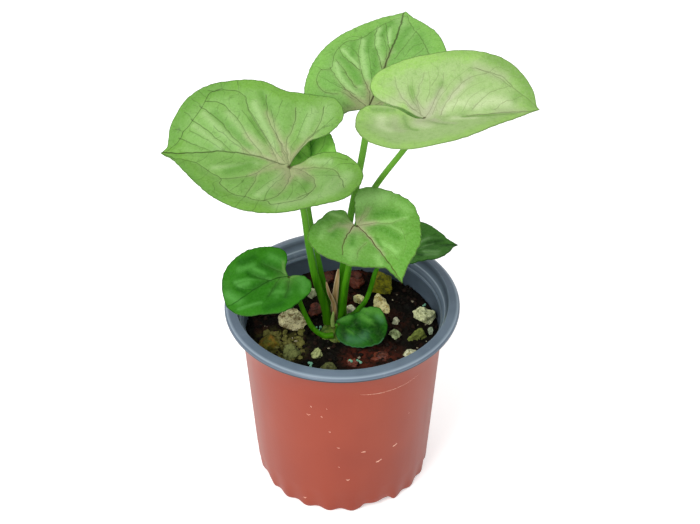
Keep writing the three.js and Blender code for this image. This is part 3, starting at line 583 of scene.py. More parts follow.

# ---------- leaves ----------
# Eight arrowhead leaves, each a thin blade at the end of a long stalk. A blade grows from
# its joint with two round lobes behind it, and hangs from its midrib in a shallow fold.
# Outlines and veins are in mm in the leaf's own plane: along the midrib, then to its left.
# The pale and dark strokes paint the leaf's own lighter and darker patches together with painted highlight and
# painted shade over its bulges and folds.
LEAVES = {
    "big_left": {
        "joint": (-21.5, -8, 171.8), "heading": 172, "pitch": 8.6, "roll": -18.3, "fold": 23.6, "cup": 0.002,
        "droop": 0.003, "lift": (0.006, 0.006), "twist": -0.0005, "tip": 54.5,
        "left": [
            (-4, -2.6), (-10, -7.6), (-19, -9), (-28, -4), (-30.8, 3), (-28.5, 11.5), (-24.5, 17), (-16, 21.8),
            (-9, 26), (-1, 30.2), (8, 32.3), (17, 31.4), (27, 26.4), (36, 18), (43, 9.9), (49, 3.3), (52.3, 1.5),
        ],
        "right": [
            (-1.2, -4.5), (-5.5, -11.6), (-12.5, -15.8), (-17, -22), (-16.6, -27), (-12, -31.3), (-2, -31.2),
            (9, -31), (16, -32.9), (23, -33.5), (32, -32), (40, -30), (46, -26.2), (50.4, -20.5), (53.1, -12),
            (52.6, -5.4), (52.6, -2.8),
        ],
        "lobe_end": (4.6, 4.6), "shoulder": (11, 8), "rows": (90, 150), "columns": 64,
        "stalk": [
            (-6.3, 0.5, 80.7), (-7.8, 0, 90.5), (-11.4, -1, 106), (-14.3, -3, 127), (-16.3, -5, 147.5),
            (-19, -7, 162),
        ],
        "stalk_radius": (1.9, 1.2),
        "midrib": [[(3, -0.6), (6, -1), (12, -2.3), (20, -2.6), (30, -2.3), (38, -1), (46, 0), (54.5, -0.4)]],
        "veins": [
            [(6, -0.6), (8, 0.3), (10, 3), (13, 8), (16, 10.5), (20, 12.5), (25.5, 14.3)],
            [(12.3, 7), (12, 14), (13, 18), (14, 24)], [(0, 0), (-1, 5), (-1, 10), (0, 16), (2.5, 21), (5.5, 24)],
            [(0, 0), (-4, 0.5), (-8, 2), (-11, 5), (-12.3, 10), (-11, 14), (-7, 19)],
            [(-3, 0), (-12, -1.8), (-17, -1.6), (-20, 0), (-22.3, 4), (-24, 9)], [(33, -2), (42, -4.6), (47.5, -6.5)],
            [(25, -3), (33, -8), (40, -12), (44, -14.3)], [(17, -3), (25, -8), (33, -15), (42, -20)],
            [(12, -3), (20, -10), (26, -16.5), (34, -22), (40, -22.5)],
            [(5, -1), (10, -8), (16, -14.5), (22, -21), (25, -26), (30, -28), (40, -27)],
            [(0.5, -1), (4, -7), (9, -13), (13.5, -19), (16, -27)], [(0.5, -1), (3.4, -10), (2, -17), (2.5, -24)],
            [(0, -1), (-1.5, -7), (-6, -14), (-8.4, -20), (-8.5, -26)],
        ],
        "fine": [
            [(4, 9.5), (7, 14), (9.5, 19)], [(24, -1.8), (25, 1), (29, 5)], [(34, -1.4), (35, 2.5), (38.5, 4.8)],
            [(-3.5, 8), (-7, 11), (-10, 16)], [(-3.5, 12), (-4, 17), (-3, 21)], [(-9, 2.6), (-14, 2.4), (-21, 1.8)],
            [(32.2, 10), (32.5, 14), (34.5, 16.6), (38, 16.3), (41, 12.5)], [(26, 15), (28, 18.5), (27, 22)],
            [(19, 23.5), (22, 26)], [(-4, -12), (-9, -17), (-13, -22)], [(8, -11), (10, -18), (9, -25)],
            [(20, -4), (27, -7.5), (34, -11.5)], [(9, -6), (16, -12), (24, -19)], [(29, -3), (38, -7), (44, -9.5)],
            [(47, -9.5), (50, -10)], [(44.4, -15), (48, -17)], [(42, -20.5), (46, -22.5)],
            [(-14, -3), (-17, -6), (-22, -6)], [(0, -1), (1, -8), (-1, -14), (-2, -22)],
            [(0, -1), (-3, -9), (-6, -15), (-12, -19)], [(1, -1), (6, -9), (9, -14), (12, -21)],
            [(2, -1), (12, -10), (20, -18), (24, -24)], [(27, -26.8), (29, -31)], [(35, -28.5), (37, -31)],
            [(41, -24), (45, -27)], [(0, 25.5), (0, 30)], [(8, 24.8), (9, 31.5)], [(14, 24), (16, 30.5)],
            [(43, 4), (45, 7)], [(47, 3), (49, 3)], [(-16, 0), (-20, -4), (-26, -4)],
            [(1, 6), (4, 14), (6, 20), (6, 24)], [(16, 10.5), (17, 16), (20, 21)],
        ],
        "collective": [
            [(-11, 14), (-9, 19), (-4, 22.5), (3, 26), (5, 24.5), (10, 25), (14, 24), (19, 23.5), (23, 20.5),
             (25.5, 17.5), (26, 14.5), (32, 10), (36, 7), (39, 4.7), (47, 3), (52, 1)],
            [(52, -1), (48, -6), (47, -9.5), (44, -14.3), (41.5, -20.5), (40, -26), (36, -28)],
        ],
        "pale": [
            (1.6, [(15, -5.5), (22, -11), (30, -18)]), (1.6, [(22, -5), (30, -10), (40, -17)]),
            (1.5, [(30, -4.5), (38, -9), (43, -12)]), (1.8, [(8, -8), (13, -14), (20, -23)]),
            (1.6, [(14, 2), (22, 6), (30, 8)]), (1.8, [(2, 4), (5, 14), (9, 22)]), (2.2, [(-20, 3), (-17, 12)]),
            (2.5, [(-3, -14), (-5, -24)]), (1.4, [(-16, -5), (-8, -4)]), (5, [(-8, 7), (-18, 5)], 0.5),
            (6, [(-6, -14), (-10, -26)], 0.5), (3, [(-24, 2), (-20, 12), (-10, 20), (0, 26)]),
        ],
        "dark": [
            (1.5, [(18, -5), (26, -11), (36, -18)]), (1.2, [(12, -9), (20, -17)]), (1.5, [(12, -20), (18, -28)]),
            (2.2, [(16, 3.5), (24, 9.5)]), (1.6, [(-2.4, 5), (-3, 10)]), (2, [(-9, 5), (-8, 12)]),
            (4, [(51, -6), (50, -16), (45, -25), (36, -29)]), (3.5, [(50, 3), (42, 11), (35, 19), (25, 27)]),
        ],
        "pink_and_sheen": [
            (2.4, [(-1, 3), (0, 9), (3, 15)]), (2, [(-4, 3), (-9, 6)]), (1.8, [(4, -2), (12, -6), (20, -10)]),
            (1.8, [(2, -4), (8, -13), (14, -20)]), (2, [(-2, -5), (-6, -12)]), (1.6, [(8, -2), (20, -4)]),
            (1.6, [(4, 1), (9, 5), (14, 9)]),
        ],
        "line_strength": ((0.6, 1.0), (0.42, 0.85), (0.45, 0.75), (0.9, 0.9)), "quilt": 0.8, "wave": 0.14,
        "look": "pale_green",
    },
    "top_back": {
        "joint": (11.4, 24, 180), "heading": 75, "pitch": 18, "roll": -6, "fold": 15, "cup": 0.002, "droop": 0.002,
        "lift": (0.004, 0.004), "twist": 0, "tip": 64,
        "left": [
            (-4, 8), (-11, 13), (-14, 19), (-10, 24), (1, 28.3), (10, 29.6), (19, 29.4), (28, 27.4), (36, 24),
            (46, 17.6), (56, 9), (60.5, 4),
        ],
        "right": [
            (-5, -7), (-12, -12), (-15, -19), (-10, -26), (1, -30), (18, -31), (33, -27), (43, -21.5), (52, -13),
            (59, -5),
        ],
        "lobe_end": (3.2, 3.2), "shoulder": (5.4, 5.2), "rows": (90, 150), "columns": 64,
        "stalk": [
            (-1.3, 3.6, 80.7), (-1, 4.5, 93.5), (0.5, 5.8, 108.5), (3.5, 9, 132), (6, 13, 145.5), (10, 21, 166),
        ],
        "stalk_radius": (1.6, 1.5),
        "midrib": [[(0, 0), (10, -0.6), (26, -1), (50, -0.8), (64, 1)]],
        "veins": [
            [(0, 0), (5, 0.8), (9, 2), (12, 4), (20, 8.3), (30, 12), (40, 13.5)],
            [(20, 9), (23, 13), (26, 17.5), (31, 21)], [(24, 0.3), (30, 3), (38, 7), (49, 9)],
            [(36, 0), (44, 3), (52, 5.7)], [(0, 0), (3, 5), (7, 11), (11, 15.5), (17.5, 21)],
            [(10, 8), (14, 12), (18, 15), (23, 20)], [(30, -4.5), (38, -6.7), (42, -8), (47, -9.5)],
            [(0, 0), (5, -7), (14, -15), (24, -22)], [(14, -2), (24, -9), (34, -16)],
        ],
        "fine": [
            [(4, 9), (6, 15), (5, 19)], [(7, 12), (9.5, 19), (12, 24)], [(6, 8), (10, 17)],
            [(28, 11), (32, 16), (34, 20)], [(40, 13.5), (39.5, 17), (36, 20)], [(38, -14), (36, -11), (30, -9)],
            [(17, 3), (26, 6), (34, 9)], [(30, 0), (38, 2), (44, 5)], [(44, 8.7), (50, 8)], [(16, 24.5), (17, 27)],
        ],
        "collective": [
            [(4, 15), (4, 20), (7, 24), (12, 25.5), (16, 24.5), (17.5, 21), (24, 21.6), (31, 21), (36, 18.6),
             (39.5, 13.6), (46, 10), (52, 6.5), (58, 2)],
            [(60, -2), (54, -5), (48, -9), (42, -13.5), (36, -17), (30, -20), (16, -25), (0, -23)],
        ],
        "pale": [
            (1.3, [(4.5, 4.5), (9, 11), (14, 16), (21, 19.5)]), (1.5, [(10, 1.6), (18, 5.4), (26, 9), (38, 12)]),
            (1.3, [(28, 1.6), (36, 5.2), (48, 7.6)]), (1, [(21, 8.5), (25, 13.5), (30, 19)]),
            (2, [(2, 2), (6, 5), (10, 6)]), (1, [(40, 1), (50, 3.6)]), (1.2, [(34, -3), (44, -6)]),
            (1.6, [(7, 10), (12, 15), (19, 20)], 0.5), (3, [(46, -6), (56, 0), (58, 1)], 0.5),
            (3, [(20, 19), (26, 15)], 0.4), (2, [(6, 10), (9, 12)], 0.6),
        ],
        "dark": [
            (2, [(13, 7.5), (20, 12.5), (25, 18)]), (1.8, [(18, 2.6), (26, 3.6), (34, 5.8)]),
            (1.5, [(28, 14), (36, 16)]), (1.4, [(44, 5.5), (54, 4)]), (1.6, [(32, 8.6), (44, 10.5)]),
            (3, [(36, -4), (50, -5)]), (1.4, [(-2, 3), (-1, 10)]), (3, [(36, -13), (44, -12)], 0.7),
            (1.3, [(6, 4), (9, 6)], 0.7),
        ],
        "pink_and_sheen": [
            (3, [(-8, 16), (-4, 7), (0, 0)]), (1.8, [(1, 4), (6, 12)]), (1.6, [(0, -4), (8, -10)]),
            (1.4, [(24, -0.6), (36, -1)]), (1.4, [(6, 1), (14, 4)]),
        ],
        "quilt": 0.6, "wave": 0.15, "look": "mid_green",
    },
    "right": {
        "joint": (33.7, -6, 194.3), "heading": 0, "pitch": 10.7, "roll": 8, "fold": 25.6, "cup": 0.002,
        "droop": 0.0021, "lift": (0.002, 0.009), "twist": 0, "tip": 46.5,
        "left": [
            (-3, 1.7), (-8, 5.8), (-15, 9.4), (-20, 14), (-19, 21), (-10, 26), (4, 27.8), (20, 27.8), (34, 23.6),
            (41, 17), (45, 9), (45.6, 2.2),
        ],
        "right": [
            (-3, 0.6), (-6, 2.6), (-8, 4.4), (-11.4, 6.4), (-17, 7.4), (-23, 6), (-27, 0), (-26, -14), (-18, -24.6),
            (-3, -28.6), (16, -24.2), (33, -10), (42, -2.4),
        ],
        "lobe_end": (4.3, 6), "shoulder": (7, 9.7), "rows": (90, 150), "columns": 64,
        "stalk": [
            (0.2, 0.8, 80.7), (0.6, 1, 93), (2.3, 1.5, 107), (8, 5, 137.5), (14, 5.5, 151.5), (26, 0, 175),
            (31.3, -4, 186.5),
        ],
        "stalk_radius": (1.5, 1.2),
        "midrib": [[(18, -1.8), (33, -1.5), (46.5, -0.5)]],
        "veins": [
            [(1, 1), (3, 4), (5, 8), (9, 14), (10, 18)], [(7, 1), (9, 5), (13, 10), (19, 15), (28, 17)],
            [(20, 2), (23, 5), (28, 8.5), (36, 11)], [(29, 1), (33, 4), (40, 6)],
            [(-1, 2), (-6, 8), (-9, 13), (-10, 19)], [(-1, 2), (-2, 8), (-1, 13), (2, 19.5)],
            [(36, 11), (30, 16), (24, 19)],
        ],
        "fine": [
            [(4, 2), (7, 8), (14, 15), (20, 19)], [(12, 2), (15, 7), (20, 11), (26, 13)],
            [(-2, 5), (-5, 12), (-5, 18)], [(-3, 5), (-9, 9), (-15, 13)], [(2, 8), (4, 14), (4, 20)],
            [(0, 5), (-3, 12), (-3, 18)], [(16, 1.5), (19, 6), (25, 10)], [(28, 17), (32, 19), (36, 17)],
            [(5, 14), (8, 19), (6, 23)],
        ],
        "collective": [[(46, 1), (42, 5.5), (38, 9.5), (36, 12), (33, 15), (28, 17.5), (22, 19.5)]],
        "pale": [
            (2.6, [(2, 2), (3, 5)]), (2.2, [(8, 3), (14, 5), (18, 4)]), (2.6, [(22, 3), (28, 4.5), (34, 3.5)]),
            (2.4, [(-17, 0), (-17, -6), (-14, -10)]), (2.8, [(-2.5, -3), (-1.5, -6), (1, -8.5)]),
            (2, [(12, -4), (20, -5)]), (1.2, [(4, 6), (8, 11)]), (1.2, [(10, 6), (17, 12)]),
            (2.4, [(18, 6), (25, 7)], 0.7), (2.4, [(-15, 8), (-10, 9)], 0.5),
        ],
        "dark": [
            (1, [(-8, 2), (-7.4, -3), (-6, -8), (-3, -11)]), (1, [(2, -2.4), (5, -6), (9, -9)]),
            (1.2, [(16, -3), (26, -3.6), (36, -2.8)]), (1.4, [(-3, 7), (-4, 14)]), (1.2, [(6, 9), (9, 15)]),
            (1.5, [(-20, 5), (-12, 5.4)]), (5, [(45, 3), (43, 11), (38, 18), (31, 23.5)]),
            (2, [(26, 26), (10, 27.5)], 0.5), (3, [(38, 6), (42, 8)], 0.8),
        ],
        "pink_and_sheen": [
            (2.2, [(-12, 1), (-12, -6), (-9, -11)]), (1.4, [(4, -3), (7, -6.5), (12, -9)]), (2.4, [(-1, 3), (-6, 9)]),
            (2.4, [(4, 4), (8, 11)]), (3, [(-18, 9), (-8, 11)]), (2.5, [(24, 20), (34, 15)]),
            (2, [(30, -1), (40, -1)]), (2.4, [(12, 8), (20, 15)]), (2.4, [(-17, 11), (-12, 8)]),
        ],
        "quilt": 0.5, "wave": 0.12, "look": "palest_green",
    },
    "centre_front": {
        "joint": (6, -18, 148.5), "heading": -59, "pitch": -4, "roll": 2.6, "fold": 14, "cup": 0.002, "droop": 0.002,
        "lift": (0, 0), "twist": -0.0014, "tip": 36.5,
        "left": [
            (-6, 3), (-11, 6), (-15.5, 9), (-17, 13), (-13, 18.6), (-6, 22.4), (2, 25.4), (10, 24.4), (16, 21.6),
            (22, 18), (27, 12.5), (31, 6), (34, 2),
        ],
        "right": [
            (-5, 0), (-10, 0.8), (-12.8, -1.5), (-13, -6), (-11, -9.5), (-9, -13.5), (-5, -19.5), (1, -23.4),
            (9, -23.6), (16, -20.5), (22, -15), (25, -7), (26.5, -2.6), (31.5, -1),
        ],
        "lobe_end": (3.8, 3.4), "shoulder": (7.2, 7), "rows": (70, 110), "columns": 50,
        "stalk": [(-1.1, -1.7, 80.7), (0, -2.3, 92.5), (1.5, -5.5, 110), (3.5, -9, 124.5), (5, -13.5, 138)],
        "stalk_radius": (1.25, 1),
        "midrib": [
            [(0.5, 0.7), (4, 1.1), (10, 1.2), (20, 0.9), (27, 0.6), (36.5, 0)],
            [(-1, -0.6), (1, -3.4), (3.6, -6.6), (8, -11), (13.5, -14.6)],
        ],
        "veins": [[(0.5, 2), (3, 7), (7, 12), (9, 18)], [(11, -2), (14, -7), (18, -10.5)]],
        "fine": [
            [(13, 14), (20, 12), (25, 7.5)], [(2, 4), (8, 9.5), (14, 12.5)], [(-1.5, 2.5), (-5, 7), (-8, 10)],
            [(-1.5, 3), (-3, 8), (-6, 12)], [(14, 1), (19, 4), (26, 4.5)], [(-1.5, -2), (-4, -7), (-3, -15)],
            [(-3, -1.4), (-8, -3.4)], [(8, 1), (12, 4)],
        ],
        "pale": [
            (1, [(2, 6), (6, 12.5), (9, 19)], 0.5), (0.9, [(1.5, 3.4), (5, 8), (9, 11.3), (15, 13.4)], 0.45),
            (1.5, [(15, 3.5), (18, 5), (22, 6)], 0.45), (2.2, [(6, -4), (12, -9), (18, -13)], 0.4),
            (1.8, [(20, -2), (24, -3)], 0.45), (1.4, [(-8, -3), (-11, -5)], 0.6), (1.6, [(-4, -13), (2, -18)], 0.4),
            # painted light: the broad pale strokes at the top left brighten a part of the blade that lies in shade
            (4.5, [(-11, 8), (-10, 13), (-7, 17)]), (2.5, [(-4, 20), (6, 21.5)], 0.4),
        ],
        "dark": [
            (2.4, [(0, 10), (2, 14.5), (5.5, 17)]), (2.2, [(5, 5), (9, 8.6), (16, 10.4)]),
            (1.8, [(-4, -4), (-2, -9), (2, -12)]), (1.4, [(-9, -9), (-10.5, -11.5)]), (1.6, [(4, -3.6), (10, -8)]),
            (1, [(11, 3), (16, 2.4)]),
        ],
        "pink_and_sheen": [
            (1.6, [(-2, 2), (-3, 6), (-5, 9)]), (1.4, [(0, 2), (3, 7)]), (1.5, [(-1, -2), (-3, -8)]),
            (1.2, [(-4, -6), (-1, -12)]), (1, [(8, 1.4), (20, 1.2)]),
        ],
        "quilt": 0.28, "wave": 0.3, "look": "fresh_green",
    },
    "low_left": {
        "joint": (-23, -10, 115.2), "heading": 207, "pitch": -6.5, "roll": -17.4, "fold": 19, "cup": 0.004,
        "droop": 0.0035, "lift": (0.004, 0.004), "twist": 0, "tip": 30,
        "left": [
            (-3, 0.6), (-6.2, 3.6), (-6.6, 8), (-4.6, 12), (0, 14.4), (5, 16), (9.5, 16.6), (14, 15.6), (20, 12.4),
            (25, 9.8), (28.4, 5.4),
        ],
        "right": [
            (-0.4, -4), (-2.6, -7), (-3.8, -11), (-1.4, -14.2), (4, -16.8), (11, -18.2), (16.5, -17.6), (21.5, -16),
            (26, -12), (28.6, -7),
        ],
        "lobe_end": (2.8, 3), "shoulder": (6, 5.2), "rows": (50, 90), "columns": 42,
        "stalk": [(-4, -8.8, 80.7), (-8, -9.2, 80.9), (-12.5, -9, 84.5), (-16, -9, 92), (-19.5, -9.5, 104)],
        "stalk_radius": (1.2, 1),
        "midrib": [[(0.6, -0.4), (5, -1.8), (12, -1.7), (20, -0.6), (27, 0.5), (30, 0)]],
        "veins": [
            [(1, -2), (4, -5.5), (8, -10)], [(8, -2), (12, -5), (14, -8)], [(17, -1.6), (20, -3.4), (22.5, -6)],
            [(0, 0), (2, 4), (6, 9)], [(4, -1), (8, 1.6), (12, 5)],
        ],
        "fine": [
            [(0, 0), (-2, 5), (-2, 10)], [(0, -1), (0, -7), (3, -12)], [(18, 7), (22, 6), (27, 4)],
            [(12, 5), (16, 8), (18, 11)],
        ],
        "pale": [
            (0.9, [(8, -2.6), (12, -4.6), (18, -6.6), (22, -7.6)]), (1, [(17, 7), (21, 5.8), (26, 4.4)]),
            (1.8, [(-3.5, 7), (-1.5, 11)]), (1.6, [(4, 8), (10, 4)]), (1.8, [(0, -8), (3, -11.5)]),
            (1.5, [(12, -11), (18, -12)]), (2, [(24, 1), (27, -4)]), (1.2, [(9, -6), (12, -9.5)]),
            (2.4, [(-4, 4), (-4, 8)]), (1.2, [(2, 1), (6, 4), (10, 8)], 0.6), (1.2, [(17, -5), (21, -5.6)]),
        ],
        "dark": [
            (1.3, [(1.4, 2.6), (3.6, 6.6), (6, 9.6)]), (1, [(6, 0.8), (9, 3), (11.5, 4.6)]),
            (2, [(2, -2.6), (5, -6), (8, -9.5)]), (1.1, [(10, -3.6), (14, -6.4), (15.5, -9)]),
            (0.9, [(20, -1.5), (22.5, -4.6)]), (2.4, [(10, 12), (16, 11)]), (2, [(10, -14), (16, -14.6)]),
            (1, [(9, -2.5), (16, -2)]),
        ],
        "pink_and_sheen": [
            (0.3, [(11, 16.4), (14, 15.6), (20, 12.4), (25, 9.8), (28.4, 5.4)], 0.7),
            (0.7, [(0.4, -2), (0.2, -5), (-0.8, -7)], 0.8), (0.7, [(-1, 0.6), (-4, 1.4)], 0.8),
        ],
        "quilt": 0.3, "wave": 0.2, "look": "deep_green",
    },
    "low_right": {
        "joint": (22.6, 12, 111.7), "heading": 0, "pitch": 10, "roll": 0, "fold": 10, "cup": 0.002, "droop": 0.001,
        "lift": (0.004, 0.004), "twist": 0, "tip": 29,
        "left": [(-4, 3), (-8, 8), (-5, 14), (4, 17), (13, 17), (20, 11.3), (25, 4.4)],
        "right": [(-4, -3), (-8, -7), (-5, -11), (4, -11.5), (12, -10.5), (20, -10), (25, -5.5), (27, -1.5)],
        "lobe_end": (2.2, 2.2), "shoulder": (4, 4), "rows": (40, 80), "columns": 36,
        "stalk": [
            (1.9, 4, 80.7), (4.5, 4.2, 81.8), (10, 5.5, 88), (12.5, 7, 94), (15.5, 9, 104.5), (20, 11.2, 109.5),
        ],
        "stalk_radius": (1.15, 0.95),
        "midrib": [[(0, 0), (8, 0), (13, 0.5), (18, 1.6), (24, 1.2), (29, 0)]],
        "veins": [
            [(0, 0), (6, 6), (12, 11)], [(7, 1), (14, 6), (19, 8)], [(0, 0), (0, 8), (4, 13)],
            [(0, 0), (6, -5), (12, -8)], [(8, 0), (15, -5), (20, -7)], [(0, 0), (-2, -6), (2, -9)],
        ],
        "pale": [
            (0.7, [(12.5, 0.2), (15, 1.4), (18, 2)]), (1.4, [(10, 3), (16, 6)]), (1.2, [(14, -3), (20, -5)]),
            # painted light: the last pale stroke brightens a patch on the right half
            (1.4, [(4, 8), (10, 13)]), (1.8, [(15, -5.6), (19, -6.6)]),
        ],
        "dark": [(1.2, [(16, 3), (22, 3.5)]), (1.2, [(9, -3), (13, -6)]), (1.2, [(22, 0), (28, 0)])],
        "quilt": 0.3, "wave": 0.2, "look": "dark_green",
    },
    "back_left": {
        "joint": (-13, 6.5, 165.5), "heading": 95, "pitch": 20, "roll": 0, "fold": 18, "cup": 0.002, "droop": 0.002,
        "lift": (0.004, 0.004), "twist": 0, "tip": 27,
        "left": [(-4, 3), (-8, 7), (-5, 11), (3, 12), (12, 10), (21, 5)],
        "right": [(-4, -3), (-8, -7), (-5, -10), (2, -11), (12, -9), (21, -4)],
        "lobe_end": (2.2, 2.2), "shoulder": (4, 4), "rows": (40, 70), "columns": 30,
        "stalk": [
            (-4.6, 4, 80.7), (-5.5, 3.5, 90), (-8.7, 3.5, 103.5), (-11.6, 4, 122), (-14.3, 4.5, 140.5),
            (-14.6, 5.5, 154),
        ],
        "stalk_radius": (1.3, 1.05),
        "midrib": [[(0, 0), (10, -0.5), (27, 0)]],
        "veins": [
            [(0, 0), (5, 5), (11, 8)], [(6, 0), (12, 4), (17, 5.5)], [(0, 0), (5, -5), (11, -7)],
            [(6, 0), (12, -4), (17, -5)],
        ],
        "pale": [(1.4, [(4, 2), (10, 5.5)]), (1.6, [(3, -3), (9, -6.5)]), (1.5, [(-2, -6), (4, -9)])],
        "dark": [(1.2, [(0, -0.5), (8, -1), (14, -1)]), (1.3, [(1, 5), (7, 8)])],
        "quilt": 0.3, "wave": 0.15, "look": "back_green",
    },
    "small_front": {
        "joint": (-1.7, -7.3, 85.7), "heading": 0, "pitch": 0, "roll": 45, "fold": 6, "cup": -0.004, "droop": 0.002,
        "lift": (0, 0), "twist": 0, "tip": 22,
        "left": [(-1, 1.8), (3, 4), (8, 5.6), (11.5, 7.6), (15, 8.2), (18.4, 7.2), (20.6, 4.4)],
        "right": [(-1.2, -3.5), (0, -6.6), (3.6, -9.4), (8, -10.4), (13, -10), (17.6, -9), (20.2, -6.4), (21.6, -3)],
        "lobe_end": (0.6, 1), "shoulder": (1, 2), "rows": (30, 90), "columns": 36,
        "stalk": [(-2.2, -5.2, 80.5), (-2.1, -6.2, 83)],
        "stalk_radius": (1, 0.9),
        "midrib": [[(0, 0), (5, -1), (12, -1.5), (22, 0)]],
        "veins": [[(4, -1), (7, -4), (12, -7.5)], [(9, -1.4), (15, -4), (19, -5)], [(5, -0.6), (9, 3), (12, 5)]],
        "pale": [
            # painted sheen: the first pale stroke, near the tip on the left half
            (2.2, [(12, 6.4), (16, 6.4), (19, 4.4)], 0.9), (1.5, [(10.5, 4), (14, 1.6)]),
            (1.2, [(1.5, 2.2), (5, 3.2)], 0.8), (0.7, [(4, -2.5), (6.4, -4)], 0.8),
            (0.6, [(14.6, 1), (17, -0.8)], 0.8),
        ],
        "dark": [
            (1.6, [(2, -1.5), (3, -6)]), (1.6, [(7.4, 1.4), (9.6, -2.4), (11, -4)]), (2.4, [(17.5, -1), (19, -6)]),
            (1, [(5.6, -1), (6.6, 2)], 0.6), (1, [(13, -5), (15, -8)], 0.7),
        ],
        # painted sheen on the gloss, and a painted highlight along the lower margin
        "pink_and_sheen": [
            (2, [(5, -6.4), (9, -6.8), (12, -4.6)], 0.35), (1.3, [(17.5, 3.6), (19.4, 2)], 0.3),
            (0.4, [(-0.8, -5.8), (0.6, -7.4), (3.6, -9.4), (8, -10.4), (13, -10), (17.6, -9), (20.2, -6.4)]),
        ],
        "quilt": 0.35, "wave": 0.35, "look": "darkest_green",
    },
}
MIDRIB_ROUNDING = 4
BLADE_THICKNESS = 0.35
STALK_SIDES = 24
STALK_RINGS = 110
VEIN_WIDTHS = {"side_vein": 0.29, "fine_vein": 0.23, "rim_vein": 0.25}
# strength of a line at its start and end: midrib, side veins, fine veins, rim veins
USUAL_STRENGTH = ((1, 0.7), (1, 0.6), (1, 0.5), (1, 1))
UV_SIZE = 50
CURVE_STEPS = 40
VEIN_SPACING = 0.15
USUAL_LOOK = {"gloss": 0.46, "shine": 0.22, "scar": 1, "joint_blush": 1, "midrib_width": 0.5}
LEAF_LOOKS = {
    "pale_green": {
        "margin": (106, 158, 54), "middle": (118, 165, 78), "pale": (146, 182, 112), "dark": (94, 146, 54),
        "blush_and_sheen": (170, 164, 132), "vein": (50, 66, 22), "blush_share": 0.72, "lines": (1, 0.85, 0.7, 0.9),
        "scar": 1.6, "midrib_width": 0.54,
    },
    "mid_green": {
        "margin": (126, 184, 78), "middle": (120, 175, 80), "pale": (162, 204, 126), "dark": (98, 158, 58),
        "blush_and_sheen": (142, 142, 104), "vein": (52, 54, 20), "blush_share": 0.85, "lines": (1, 0.7, 0.6, 0.6),
        "midrib_width": 0.8,
    },
    "palest_green": {
        "margin": (146, 192, 92), "middle": (155, 187, 116), "pale": (188, 208, 154), "dark": (112, 158, 68),
        "blush_and_sheen": (168, 170, 142), "vein": (94, 100, 62), "blush_share": 0.8, "lines": (0.75, 0.5, 0.42, 0.55),
        "gloss": 0.4,
    },
    "fresh_green": {
        "margin": (96, 158, 52), "middle": (110, 168, 68), "pale": (168, 220, 130), "dark": (78, 144, 38),
        "blush_and_sheen": (176, 174, 138), "vein": (74, 42, 24), "blush_share": 0.9, "lines": (1, 0.45, 0.35, 0),
        "midrib_width": 0.4,
    },
    "deep_green": {
        "margin": (48, 118, 18), "middle": (40, 110, 12), "pale": (78, 146, 58), "dark": (24, 88, 4),
        "blush_and_sheen": (132, 168, 96), "vein": (14, 62, 4), "blush_share": 0.5, "lines": (0.8, 0.5, 0.3, 0),
        "gloss": 0.42, "shine": 0.1, "joint_blush": 0.5,
    },
    "dark_green": {
        "margin": (68, 124, 42), "middle": (62, 120, 38), "pale": (116, 164, 96), "dark": (30, 78, 14),
        "blush_and_sheen": (56, 104, 36), "vein": (22, 60, 12), "blush_share": 0.2, "lines": (0.6, 0.4, 0, 0),
        "gloss": 0.44, "shine": 0.1,
    },
    # painted light: colours raised so that this leaf, in the shade of the big left leaf, looks lit
    "back_green": {
        "margin": (134, 204, 80), "middle": (122, 196, 62), "pale": (150, 214, 96), "dark": (76, 150, 28),
        "blush_and_sheen": (80, 142, 44), "vein": (30, 92, 8), "blush_share": 0.2, "lines": (0.8, 0.4, 0, 0),
    },
    "darkest_green": {
        "margin": (26, 92, 12), "middle": (18, 82, 4), "pale": (82, 146, 54), "dark": (4, 44, 6),
        # painted sheen: this leaf's blush colour is the bluish gloss of its sheen
        "blush_and_sheen": (96, 156, 118), "vein": (8, 56, 4), "blush_share": 0.85, "lines": (0.5, 0.4, 0, 0),
        "gloss": 0.34, "shine": 0.06, "joint_blush": 0, "midrib_width": 0.45,
    },
}


def evenly(curve, count):
    """Equally spaced points along a curve of many points."""
    run = np.r_[0, np.cumsum(np.linalg.norm(np.diff(curve, axis=0), axis=1))]
    even = np.linspace(0, run[-1], count)
    return np.stack([np.interp(even, run, line) for line in curve.T], axis=1)


def smooth_curve(points, count):
    """Points equally spaced on a smooth curve through the given points."""
    given = np.array(points, float)
    last = len(given) - 1
    at = np.linspace(0, last, last * CURVE_STEPS + 1)
    index = np.minimum(at.astype(int), last - 1)
    w = (at - index)[:, None]
    before, start = given[np.maximum(index - 1, 0)], given[index]
    end, after = given[index + 1], given[np.minimum(index + 2, last)]
    leave, arrive = (end - before) / 2, (after - start) / 2
    curve = ((2 * start - 2 * end + leave + arrive) * w + (3 * end - 3 * start - 2 * leave - arrive)) * w * w
    curve += leave * w + start
    if count is None:
        return at, curve
    return evenly(curve, count)


def part_of_curve(points, first, last, count):
    """Equally spaced points on the smooth curve between two places, given as point numbers."""
    at, curve = smooth_curve(points, None)
    low, high = sorted((first, last))
    inside = (at > low) & (at < high)
    ends = [[np.interp(n, at, curve[:, k]) for k in range(2)] for n in (low, high)]
    piece = np.vstack([ends[0], curve[inside], ends[1]])
    if first > last:
        piece = piece[::-1]
    return evenly(piece, count)


